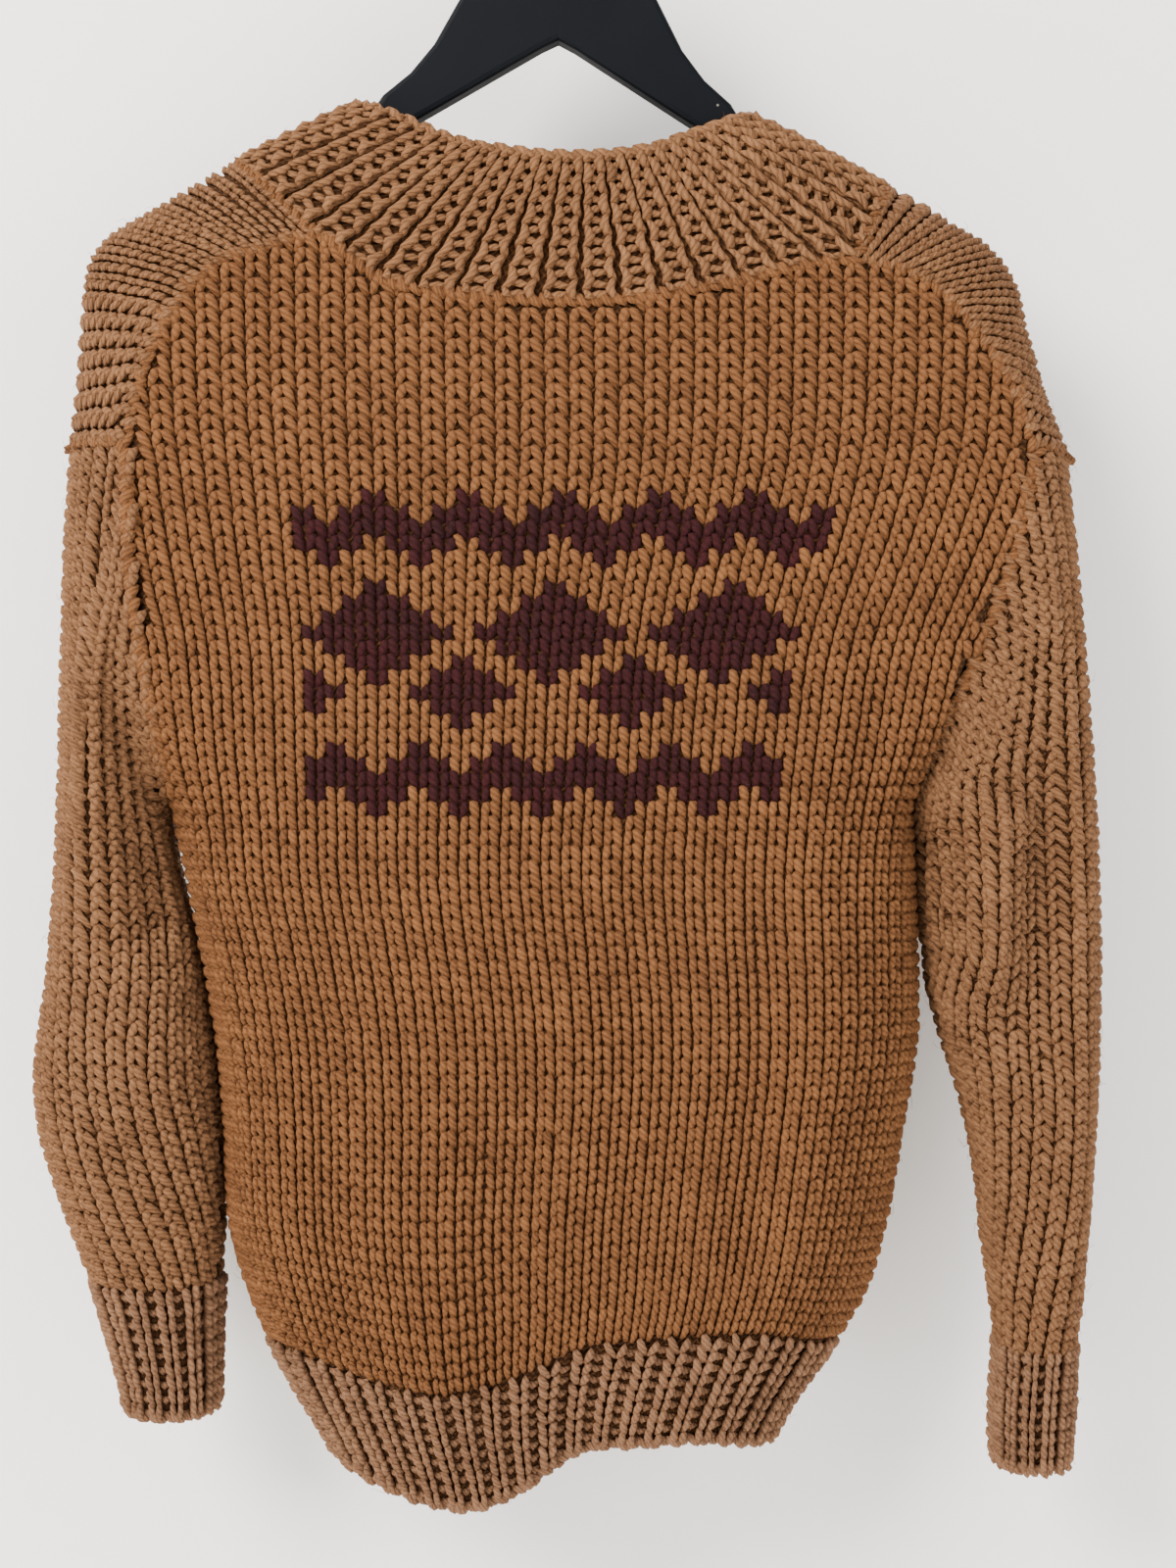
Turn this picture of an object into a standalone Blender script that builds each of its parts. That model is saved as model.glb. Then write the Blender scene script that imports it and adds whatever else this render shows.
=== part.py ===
# Zip cardigan on a flat wooden hanger, seen from the back when looking along +Y.
# Sizes are in millimetres until a mesh is made. "Drop" is the height below the hook's mount.
import math

import bpy
import numpy as np

MM = 0.001
WALL = 5.0
SEAM = 0.52
STATIONS = 161
RING_STEPS = 241
SAME_POINT = 0.02
FOLDED_BACK = 0.2
FACING_DEPTH = 25.0

# Zip and hanger sizes
ZIP_HALF_GAP = 5.0
TAPE_OUTER = 15.0
TAPE_INNER = 0.5
TAPE_THICK = 1.2
ZIP_TOP_DROP = 292.0
ZIP_END_DROP = 799.0
ZIP_ROWS = 16
ZIP_REACH = 24.0
ROW_REACH = 30.0
STOP_DROP = 794.0
STOP_SIZE = (7.0, 2.4, 6.0)
SLIDER_DROP = 306.0
SLIDER_THICK = 4.0
PIVOT_OUT = 1.2
HANGER_TILT = 1.5
HANGER_THICK = 13.0
HANGER_ROUND = 2.5
HOOK_RADIUS = 20.0
HOOK_WIRE = 1.75
HOOK_START = 195
HOOK_STEP = 12
HOOK_STEPS = 22

ARMHOLE_ROWS = 10
LOWER_ROWS = 10
SHOULDER_COLUMNS = 6
CORNER_KNOT = 3
UNDERARM_KNOT = 9
LOOP_KNOTS = 18
UNDERARM_DROP = 497.0

# Armhole ring, back half, from the shoulder's top to the underarm: x, drop, y
LEFT_ARMHOLE = (
    (-240.0, 322.0, 0.0),
    (-233.0, 323.0, -20.0),
    (-218.0, 325.0, -36.0),
    (-206.0, 329.0, -43.0),
    (-204.0, 360.0, -46.0),
    (-202.0, 395.0, -47.0),
    (-198.0, 426.0, -44.0),
    (-194.0, 456.0, -37.0),
    (-192.0, 482.0, -23.0),
    (-191.0, 497.0, 0.0),
)
RIGHT_ARMHOLE = (
    (243.0, 327.0, 0.0),
    (239.0, 327.0, -18.0),
    (231.0, 328.0, -34.0),
    (221.0, 331.0, -42.0),
    (214.0, 362.0, -46.0),
    (204.0, 396.0, -47.0),
    (193.0, 426.0, -44.0),
    (181.0, 456.0, -37.0),
    (172.0, 482.0, -23.0),
    (168.5, 497.0, 0.0),
)

# Body sections: drop, left edge, right edge, depth of back, depth of front
BODY = (
    (210.0, -191.0, 168.5, 40.0, 40.0),
    (262.0, -191.0, 168.5, 46.0, 45.0),
    (330.0, -191.0, 168.5, 48.0, 48.0),
    (400.0, -191.0, 168.5, 52.0, 51.0),
    (497.0, -191.0, 168.5, 58.0, 54.0),
    (531.0, -184.0, 169.5, 60.0, 55.0),
    (569.0, -176.5, 171.0, 61.0, 56.0),
    (609.0, -169.5, 170.5, 61.0, 56.0),
    (651.0, -165.5, 164.0, 61.0, 55.0),
    (700.0, -162.5, 155.0, 60.0, 53.0),
    (733.0, -153.0, 145.0, 58.0, 50.0),
    (757.0, -142.0, 130.0, 56.0, 47.0),
    (777.0, -131.0, 115.0, 53.0, 44.0),
    (797.0, -118.0, 103.0, 50.0, 41.0),
    (825.0, -103.0, 92.0, 46.0, 38.0),
)
SQUARENESS = 2.5
SLEEVE_SQUARENESS = 2.2

# Top edge of the back across its width: share, drop
BACK_TOP = (
    (0.0, 329.0),
    (0.015, 303.0),
    (0.035, 281.0),
    (0.07, 257.0),
    (0.105, 243.0),
    (0.15, 237.0),
    (0.211, 231.0),
    (0.281, 251.0),
    (0.378, 259.0),
    (0.466, 262.0),
    (0.547, 261.0),
    (0.621, 256.5),
    (0.687, 251.0),
    (0.742, 245.0),
    (0.80, 242.5),
    (0.86, 248.0),
    (0.90, 260.0),
    (0.94, 280.0),
    (0.97, 300.0),
    (1.0, 331.0),
)
BACK_NECK = (0.211, 0.80)
# Top edges of the fronts, from the sleeve to the zip: share, drop
LEFT_FRONT_TOP = (
    (0.0, 329.0),
    (0.03, 303.0),
    (0.07, 281.0),
    (0.15, 255.0),
    (0.23, 242.0),
    (0.33, 236.0),
    (0.44, 231.0),
    (0.58, 264.0),
    (0.72, 304.0),
    (0.86, 348.0),
    (1.0, 392.0),
)
RIGHT_FRONT_TOP = (
    (0.0, 331.0),
    (0.05, 300.0),
    (0.10, 280.0),
    (0.18, 260.0),
    (0.26, 248.0),
    (0.40, 242.5),
    (0.55, 270.0),
    (0.70, 308.0),
    (0.85, 350.0),
    (1.0, 392.0),
)
LEFT_FRONT_NECK = 0.44
RIGHT_FRONT_NECK = 0.40

# Ridge of each shoulder strap from sleeve to neck: share, x, drop
LEFT_RIDGE = (
    (0.0, -240.0, 322.0),
    (0.10, -236.5, 292.0),
    (0.20, -234.5, 262.0),
    (0.32, -232.0, 240.0),
    (0.42, -225.5, 226.5),
    (0.52, -213.0, 217.5),
    (0.64, -197.0, 208.0),
    (0.78, -181.0, 198.6),
    (0.90, -168.5, 191.0),
    (1.0, -160.0, 186.0),
)
RIGHT_RIDGE = (
    (0.0, 243.0, 327.0),
    (0.10, 236.6, 311.0),
    (0.20, 231.0, 296.0),
    (0.30, 226.6, 279.0),
    (0.39, 222.8, 266.0),
    (0.49, 220.0, 251.0),
    (0.59, 213.5, 238.0),
    (0.71, 202.0, 225.5),
    (0.83, 186.0, 216.0),
    (0.93, 171.0, 206.0),
    (1.0, 157.0, 199.0),
)

# Rib lines and hem edge of the back across its width: share, top of rib, hem edge
BACK_HEM = (
    (0.0, 755.0, 803.0),
    (0.12, 757.0, 810.0),
    (0.25, 766.0, 818.0),
    (0.36, 770.0, 821.0),
    (0.46, 762.0, 812.0),
    (0.54, 751.0, 799.0),
    (0.66, 746.0, 794.0),
    (0.78, 746.0, 794.0),
    (0.88, 752.0, 799.0),
    (1.0, 757.0, 801.0),
)
# Rib lines of each front from left to right: share, top of rib, hem edge
LEFT_FRONT_HEM = ((0.0, 755.0, 803.0), (0.5, 753.0, 801.0), (1.0, 752.0, 800.0))
RIGHT_FRONT_HEM = ((0.0, 752.0, 800.0), (0.5, 754.0, 800.0), (1.0, 757.0, 801.0))

# Sleeve sections: drop, outer edge, inner edge, depth of back, depth of front
LEFT_SLEEVE = (
    (590.0, -252.5, -175.5, 42.0, 40.0),
    (627.0, -257.0, -170.5, 41.0, 38.0),
    (657.0, -254.0, -167.5, 40.0, 37.0),
    (680.0, -247.0, -166.5, 39.0, 36.0),
    (707.0, -237.0, -165.5, 37.0, 34.0),
    (728.0, -229.0, -165.5, 34.0, 31.0),
    (756.0, -221.0, -166.5, 28.0, 26.0),
    (780.0, -214.5, -167.0, 26.0, 24.0),
    (800.0, -212.0, -168.5, 25.0, 23.0),
)
RIGHT_SLEEVE = (
    (590.0, 258.5, 175.5, 45.0, 42.0),
    (612.0, 258.0, 181.5, 44.5, 41.5),
    (633.0, 257.0, 188.5, 44.0, 41.0),
    (652.0, 256.0, 193.5, 43.0, 41.0),
    (680.0, 254.0, 198.5, 42.0, 40.0),
    (706.0, 252.0, 201.0, 40.0, 38.0),
    (736.0, 249.5, 205.0, 36.0, 34.0),
    (758.0, 247.0, 207.5, 31.0, 29.0),
    (788.0, 245.5, 206.0, 28.0, 26.0),
    (820.0, 243.5, 206.5, 26.0, 24.0),
)
SLEEVE_FREE_DROP = 590.0
SLEEVE_SETTLE = 10.0
SLEEVE_PULL = 0.8
LEFT_CUFF = (728.0, 788.0)
RIGHT_CUFF = (758.0, 813.0)
# The way each sleeve leaves the armhole: knot, outward, down, reach
SLEEVE_START = (
    (0.0, 0.08, 1.0, 240.0),
    (3.0, 0.26, 1.0, 230.0),
    (6.0, 0.70, 0.75, 150.0),
    (8.0, 0.55, 0.85, 60.0),
    (9.0, 0.33, 0.94, 50.0),
)

# Large folds on the sides that face -Y: x, drop, x, drop, width, height
RIGHT_SLEEVE_FOLDS = (
    (219.0, 455.0, 219.0, 580.0, 11.0, -15.0),
    (219.0, 600.0, 216.0, 725.0, 14.0, -4.0),
    (184.0, 505.0, 204.0, 535.0, 17.0, 8.0),
    (207.0, 562.0, 184.0, 590.0, 12.0, -7.0),
    (176.0, 520.0, 186.0, 524.0, 8.0, -5.0),
)
LEFT_SLEEVE_FOLDS = (
    (-222.0, 600.0, -190.0, 632.0, 16.0, 4.0),
    (-196.0, 560.0, -176.0, 585.0, 12.0, -4.0),
    (-232.0, 430.0, -226.0, 560.0, 14.0, 3.0),
)
BACK_FOLDS = (
    (-66.0, 760.0, -62.0, 830.0, 42.0, 12.0),
    (8.0, 770.0, 10.0, 830.0, 20.0, -6.0),
    (-60.0, 560.0, -66.0, 720.0, 34.0, 4.0),
    (40.0, 520.0, 36.0, 700.0, 26.0, -4.0),
    (120.0, 520.0, 110.0, 700.0, 26.0, 4.0),
)

# Free edge of the collar along the strip: share, x, drop, y
COLLAR_EDGE = (
    (0.0, -5.0, 290.0, 46.0),
    (0.06, -9.0, 270.0, 48.0),
    (0.13, -36.0, 234.0, 46.0),
    (0.20, -66.0, 196.0, 40.0),
    (0.245, -88.0, 171.0, 24.0),
    (0.283, -102.5, 156.0, 3.0),
    (0.315, -90.0, 163.0, -20.0),
    (0.345, -70.0, 172.5, -25.0),
    (0.38, -51.0, 181.6, -31.0),
    (0.43, -28.0, 187.0, -34.0),
    (0.50, 4.0, 190.0, -35.0),
    (0.57, 36.0, 187.0, -34.0),
    (0.63, 57.0, 180.0, -31.0),
    (0.665, 72.0, 173.0, -25.0),
    (0.69, 80.0, 169.0, -21.0),
    (0.72, 92.0, 161.5, 2.0),
    (0.76, 82.0, 175.0, 24.0),
    (0.81, 62.0, 200.0, 40.0),
    (0.87, 36.0, 236.0, 46.0),
    (0.94, 9.0, 271.0, 48.0),
    (1.0, 5.0, 290.0, 46.0),
)
COLLAR_RIDGES = 50
COLLAR_RIDGE_HEIGHT = 2.0
COLLAR_BULGE = 1.0
RIB_HEIGHT = 1.8
BACK_RIBS = 23
FRONT_RIBS = 11
CUFF_RIBS = 15

# Boxes of the zip's slider and pull tab: operation, how far out, how far up, width, depth, height
SLIDER_BOXES = (
    ("FIRST", -2.0, 0.0, 8.4, 4.0, 11.0),
    ("UNION", 1.5, 0.0, 2.0, 4.2, 8.4),
    ("DIFFERENCE", 1.2, 0.0, 3.0, 2.4, 5.6),
)
TAB_BOXES = (
    ("FIRST", 0.0, -11.0, 6.0, 1.4, 23.4),
    ("DIFFERENCE", 0.0, -2.95, 3.2, 4.0, 4.5),
    ("DIFFERENCE", 0.0, -19.0, 2.6, 4.0, 2.6),
)

# Hanger half outline: x, drop
HANGER_TOP = (
    (9.0, 60.0),
    (15.0, 64.0),
    (22.0, 72.0),
    (34.0, 88.0),
    (47.0, 107.0),
    (60.0, 131.5),
    (71.0, 145.5),
    (84.0, 156.6),
    (91.0, 167.5),
    (104.0, 175.0),
    (150.0, 198.6),
    (198.0, 225.4),
    (207.0, 234.0),
    (210.0, 243.0),
    (206.0, 250.0),
    (197.0, 252.0),
)
HANGER_BOTTOM = ((140.0, 217.0), (66.0, 167.4), (8.0, 132.0))
HANGER_NOTCH = 128.0
# Stem of the hook under its loop: x, drop
HOOK_STEM = [(7.0, 39.5), (2.0, 43.5), (0.0, 48.0), (0.0, 54.0), (0.0, 59.4)]

ZIP_SIDES = ("left_front", "right_front", "collar", "left_front_hem_rib", "right_front_hem_rib")

CAMEL = (0.42, 0.20, 0.075, 1.0)
BLACK_WOOD = (0.012, 0.013, 0.015, 1.0)
STEEL = (0.55, 0.55, 0.57, 1.0)
BRASS = (0.45, 0.33, 0.14, 1.0)
TAPE_BROWN = (0.16, 0.08, 0.035, 1.0)


# Interpolation and small vector helpers
def smooth(table, column, at):
    """A smooth curve through one column of a table, read against its first column."""
    rows = np.asarray(table, float)
    xs = rows[:, 0]
    ys = rows[:, column]
    slopes = np.gradient(ys, xs)
    at = np.clip(np.asarray(at, float), xs[0], xs[-1])
    low = np.clip(np.searchsorted(xs, at, side="right") - 1, 0, len(xs) - 2)
    span = xs[low + 1] - xs[low]
    t = (at - xs[low]) / span
    rise = t * t * (3 - 2 * t)
    start = t * (1 - t) ** 2 * span * slopes[low]
    end = -t * t * (1 - t) * span * slopes[low + 1]
    return ys[low] * (1 - rise) + ys[low + 1] * rise + start + end


def unit(vectors):
    length = np.linalg.norm(vectors, axis=-1, keepdims=True)
    return vectors / np.maximum(length, 1e-9)


def ring_loop(table):
    """The closed armhole loop: back half, underarm, then the mirrored front half."""
    back = np.asarray(table, float)
    front = back[-2:0:-1] * (1, 1, -1)
    return np.concatenate([back, front])


def ring(table, knot):
    """Point (x, drop, y) of the armhole loop at a knot number, which may be fractional."""
    loop = ring_loop(table)
    count = len(loop)
    knot = np.mod(np.asarray(knot, float), count)
    low = np.floor(knot).astype(int)
    t = (knot - low)[..., None]
    before, start, end, after = (loop[(low + step) % count] for step in (-1, 0, 1, 2))
    slope_a = (end - before) / 2
    slope_b = (after - start) / 2
    rise = t * t * (3 - 2 * t)
    return (
        start * (1 - rise)
        + end * rise
        + slope_a * t * (1 - t) ** 2
        - slope_b * t * t * (1 - t)
    )


# The body: sections from edge to edge at each drop
def body_edge(table, column, drop):
    """Edge (x, y size) of the body at a drop: the armhole above the underarm, the side seam below."""
    dense = ring(table, np.linspace(CORNER_KNOT, UNDERARM_KNOT, RING_STEPS))
    in_armhole = drop < UNDERARM_DROP
    x = np.where(in_armhole, np.interp(drop, dense[:, 1], dense[:, 0]), smooth(BODY, column, drop))
    y = np.where(in_armhole, np.interp(drop, dense[:, 1], -dense[:, 2]), 0.0)
    return x, y


def section(drop, side):
    """Dense stations along each section, side -1 for the back and +1 for the fronts."""
    left_x, left_y = body_edge(LEFT_ARMHOLE, 1, drop)
    right_x, right_y = body_edge(RIGHT_ARMHOLE, 2, drop)
    depth = smooth(BODY, 3 if side < 0 else 4, drop)
    angle = np.linspace(0, math.pi, STATIONS)[None, :]
    power = 2 / SQUARENESS
    across = -np.sign(np.cos(angle)) * np.abs(np.cos(angle)) ** power
    bump = np.sin(angle) ** power
    share = (across + 1) / 2
    x = left_x[:, None] * (1 - share) + right_x[:, None] * share
    edge_y = left_y[:, None] * (1 - share) + right_y[:, None] * share
    y = side * (edge_y + (depth[:, None] - edge_y) * bump)
    return x, y


def body_points(share, drop, side, part=None):
    """Points at a share of the arc length; part 'left' or 'right' cuts the front at the zip."""
    share = np.asarray(share, float)
    shape = share.shape
    flat_share = share.ravel()
    flat_drop = np.broadcast_to(drop, shape).ravel()
    xs, ys = section(flat_drop, side)
    steps = np.hypot(np.diff(xs, axis=1), np.diff(ys, axis=1))
    length = np.concatenate([np.zeros((len(xs), 1)), np.cumsum(steps, axis=1)], axis=1)
    points = np.empty((len(xs), 3))
    for row in range(len(xs)):
        start, end = 0.0, length[row, -1]
        if part == "left":
            end = np.interp(-ZIP_HALF_GAP, xs[row], length[row])
        if part == "right":
            start = np.interp(ZIP_HALF_GAP, xs[row], length[row])
        at = start + (end - start) * flat_share[row]
        points[row] = (
            np.interp(at, length[row], xs[row]),
            np.interp(at, length[row], ys[row]),
            -flat_drop[row],
        )
    return points.reshape(shape + (3,))


def add_folds(points, folds, fade):
    """Moves points that face -Y outwards or inwards near each fold's line."""
    x = points[..., 0]
    drop = -points[..., 2]
    shift = np.zeros(x.shape)
    for x0, drop0, x1, drop1, width, height in folds:
        along = np.array((x1 - x0, drop1 - drop0))
        t = ((x - x0) * along[0] + (drop - drop0) * along[1]) / (along @ along)
        t = np.clip(t, 0, 1)
        gap = np.hypot(x - x0 - t * along[0], drop - drop0 - t * along[1])
        shift += height * np.exp(-((gap / width) ** 2))
    facing = np.clip(-points[..., 1] / FACING_DEPTH, 0, 1)
    moved = points.copy()
    moved[..., 1] -= shift * facing * fade
    return moved


# Walls: an outer grid, an inner grid moved in along the normals, and closed edges
def grid_normals(grid, outward, round_tube=False):
    down = np.gradient(grid, axis=0)
    if round_tube:
        across = (np.roll(grid, -1, axis=1) - np.roll(grid, 1, axis=1)) / 2
    else:
        across = np.gradient(grid, axis=1)
    return unit(np.cross(down, across)) * outward


class Seams:
    """Averages the normals that pieces have at the points they share, so that both cut alike."""

    def __init__(self):
        self.points = np.empty((0, 3))
        self.normals = np.empty((0, 3))

    def add(self, points, normals):
        self.points = np.concatenate([self.points, points.reshape(-1, 3)])
        self.normals = np.concatenate([self.normals, normals.reshape(-1, 3)])

    def shared(self, point, own):
        here = np.linalg.norm(self.points - point, axis=1) < SAME_POINT
        near = self.normals[here & (self.normals @ own > FOLDED_BACK)]
        total = near.sum(axis=0) if len(near) else own
        return total / np.linalg.norm(total)


def edge_index(shape, edge):
    rows, columns = shape[:2]
    return {
        "top": (0, slice(None)),
        "bottom": (rows - 1, slice(None)),
        "left": (slice(None), 0),
        "right": (slice(None), columns - 1),
    }[edge]


def inward(grid, edge):
    """Unit steps from an edge into its panel."""
    row, column = edge_index(grid.shape, edge)
    inner = {"top": (1, column), "bottom": (-2, column), "left": (row, 1), "right": (row, -2)}[edge]
    return unit(grid[inner] - grid[row, column])


def wall_grids(grid, normals, seams, edges, round_tube=False, raised=None):
    """Outer and inner grids with shared seam normals and a half gap at each seam."""
    normals = normals.copy()
    for edge in edges:
        where = edge_index(grid.shape, edge)
        for place in range(len(grid[where])):
            spot = (where[0], place) if edge in ("top", "bottom") else (place, where[1])
            normals[spot] = seams.shared(grid[spot], normals[spot])
    move = np.zeros(grid.shape)
    for edge in edges:
        where = edge_index(grid.shape, edge)
        line = grid[where]
        if round_tube:
            tangent = np.roll(line, -1, axis=0) - np.roll(line, 1, axis=0)
        else:
            tangent = np.gradient(line, axis=0)
        step = unit(np.cross(tangent, normals[where]))
        step *= np.sign(np.sum(step * inward(grid, edge), axis=-1, keepdims=True))
        move[where] += step * SEAM / 2
    outer = grid + move
    inner = grid + move - normals * WALL
    if raised is not None:
        outer = outer + normals * raised[..., None]
    return outer, inner


def wall_object(name, outer, inner, colour, round_tube=False):
    rows, columns = outer.shape[:2]
    count = rows * columns
    points = np.concatenate([outer.reshape(-1, 3), inner.reshape(-1, 3)]) * MM
    faces = []
    wrap = columns if round_tube else columns - 1

    def spot(row, column, layer):
        return layer * count + row * columns + column % columns

    for row in range(rows - 1):
        for column in range(wrap):
            quad = [(row, column), (row, column + 1), (row + 1, column + 1), (row + 1, column)]
            faces.append([spot(r, c, 0) for r, c in quad])
            faces.append([spot(r, c, 1) for r, c in reversed(quad)])
    for column in range(wrap):
        for row, turn in ((0, 1), (rows - 1, -1)):
            rim = [spot(row, column, 0), spot(row, column, 1), spot(row, column + 1, 1)]
            rim.append(spot(row, column + 1, 0))
            faces.append(rim[::turn])
    if not round_tube:
        for row in range(rows - 1):
            for column, turn in ((0, -1), (columns - 1, 1)):
                rim = [spot(row, column, 0), spot(row, column, 1), spot(row + 1, column, 1)]
                rim.append(spot(row + 1, column, 0))
                faces.append(rim[::turn])
    return mesh_object(name, points, faces, colour)


def material(name, colour, roughness=0.9, metallic=0.0):
    made = bpy.data.materials.new(name)
    made.use_nodes = True
    shader = made.node_tree.nodes["Principled BSDF"]
    shader.inputs["Base Color"].default_value = colour
    shader.inputs["Roughness"].default_value = roughness
    shader.inputs["Metallic"].default_value = metallic
    return made


def mesh_object(name, points, faces, colour, roughness=0.9, metallic=0.0):
    mesh = bpy.data.meshes.new(name)
    mesh.from_pydata([tuple(point) for point in points], [], faces)
    mesh.validate()
    turn_out(mesh)
    mesh.shade_smooth()
    mesh.materials.append(material(name, colour, roughness, metallic))
    made = bpy.data.objects.new(name, mesh)
    CARDIGAN.objects.link(made)
    return made


def turn_out(mesh):
    """Turns every face round if the closed mesh came out facing inwards."""
    points = np.array([vertex.co for vertex in mesh.vertices])
    mesh.calc_loop_triangles()
    corners = points[np.array([list(t.vertices) for t in mesh.loop_triangles])]
    if np.linalg.det(corners).sum() < 0:
        mesh.flip_normals()


# Panels of the body
def armhole_knots():
    return CORNER_KNOT + (UNDERARM_KNOT - CORNER_KNOT) * np.linspace(0, 1, ARMHOLE_ROWS + 1)


def armhole_fractions(table):
    drops = ring(table, armhole_knots())[:, 1]
    return (drops - drops[0]) / (drops[-1] - drops[0])


def panel_drops(shares, top, bottom, lower_rows, left_fraction, right_fraction):
    """Drops of a panel's rows: through the armhole first, then down to the rib."""
    mix = shares[None, :]
    fraction = left_fraction[:, None] * (1 - mix) + right_fraction[:, None] * mix
    upper = top[None, :] + fraction * (UNDERARM_DROP - top[None, :])
    t = np.linspace(0, 1, lower_rows + 1)[1:, None]
    lower = UNDERARM_DROP + t * (bottom[None, :] - UNDERARM_DROP)
    return np.concatenate([upper, lower])


def joined(*pieces):
    return np.concatenate([pieces[0]] + [piece[1:] for piece in pieces[1:]])


def back_shares():
    return joined(
        np.linspace(0, BACK_NECK[0], SHOULDER_COLUMNS + 1),
        np.linspace(BACK_NECK[0], BACK_NECK[1], 16),
        np.linspace(BACK_NECK[1], 1, SHOULDER_COLUMNS + 1),
    )


def front_shares(neck):
    return joined(np.linspace(0, neck, SHOULDER_COLUMNS + 1), np.linspace(neck, 1, 9))


def back_grid():
    shares = back_shares()
    drops = panel_drops(
        shares,
        smooth(BACK_TOP, 1, shares),
        smooth(BACK_HEM, 1, shares),
        LOWER_ROWS,
        armhole_fractions(LEFT_ARMHOLE),
        armhole_fractions(RIGHT_ARMHOLE),
    )
    points = body_points(np.broadcast_to(shares, drops.shape), drops, -1)
    return add_folds(points, BACK_FOLDS, 1.0)


def front_grid(part):
    left = part == "left"
    top_table = LEFT_FRONT_TOP if left else RIGHT_FRONT_TOP
    hem = LEFT_FRONT_HEM if left else RIGHT_FRONT_HEM
    shares = front_shares(LEFT_FRONT_NECK if left else RIGHT_FRONT_NECK)
    top = smooth(top_table, 1, shares)
    side_to_side = shares
    if not left:
        side_to_side = 1 - shares[::-1]
        top = top[::-1]
    fraction = armhole_fractions(LEFT_ARMHOLE if left else RIGHT_ARMHOLE)
    drops = panel_drops(
        side_to_side, top, smooth(hem, 1, side_to_side), LOWER_ROWS, fraction, fraction
    )
    return body_points(np.broadcast_to(side_to_side, drops.shape), drops, 1, part)


# Shoulder straps: arches from the back seam over a ridge to the front seam
def arch(back_points, front_points, ridge_points, turn):
    middle = (back_points + front_points) / 2
    angle = math.pi * turn
    swing = (1 - np.cos(angle))[None, :, None] / 2
    lift = np.sin(angle)[None, :, None] ** 0.9
    return (
        back_points[:, None, :]
        + (front_points - back_points)[:, None, :] * swing
        + (ridge_points - middle)[:, None, :] * lift
    )


def strap_grid(back_top, front_top, ridge, table):
    """Rows run from the sleeve to the neck, columns from the back seam to the front seam."""
    rows = len(back_top)
    share = np.linspace(0, 1, rows)
    ridge_points = np.stack(
        [smooth(ridge, 1, share), np.zeros(rows), -smooth(ridge, 2, share)], axis=1
    )
    turn = np.linspace(0, 1, 2 * CORNER_KNOT + 1)
    surface = arch(back_top, front_top, ridge_points, turn)
    ends = ring(table, CORNER_KNOT * (1 - 2 * turn))
    ends = np.stack([ends[:, 0], ends[:, 2], -ends[:, 1]], axis=1)
    blend = (1 - share)[:, None, None] ** 2
    return surface + blend * (ends - surface[0])[None]


# Sleeves: the armhole loop, then level rings down to the cuff
def sleeve_knots():
    back = armhole_knots()
    over = np.linspace(-CORNER_KNOT, CORNER_KNOT, 2 * CORNER_KNOT + 1)
    front = LOOP_KNOTS - back[::-1]
    start = over[1:CORNER_KNOT] + LOOP_KNOTS
    return np.concatenate([over[CORNER_KNOT:-1], back, front[1:], start])


def loop_shares(table, knots):
    """How far round the armhole each knot lies, by length, from the shoulder's top."""
    steps = np.linspace(0, LOOP_KNOTS, 3 * RING_STEPS)
    dense = ring(table, steps)
    length = np.concatenate([[0], np.cumsum(np.linalg.norm(np.diff(dense, axis=0), axis=1))])
    return np.interp(knots, steps, length / length[-1])


def sleeve_ring(table, drop, shares):
    """A level ring of a sleeve from its outer edge round its back: points (x, y, z)."""
    outer, inner, back, front = (float(smooth(table, column, drop)) for column in (1, 2, 3, 4))
    angle = np.linspace(0, 2 * math.pi, RING_STEPS)
    power = 2 / SLEEVE_SQUARENESS
    cosine = np.sign(np.cos(angle)) * np.abs(np.cos(angle)) ** power
    sine = np.sign(np.sin(angle)) * np.abs(np.sin(angle)) ** power
    x = (outer + inner) / 2 + (outer - inner) / 2 * cosine
    y = np.where(sine > 0, -back * sine, -front * sine)
    length = np.concatenate([[0], np.cumsum(np.hypot(np.diff(x), np.diff(y)))])
    at = np.mod(shares, 1) * length[-1]
    return np.stack(
        [np.interp(at, length, x), np.interp(at, length, y), np.full(len(at), -drop)], axis=1
    )


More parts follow.
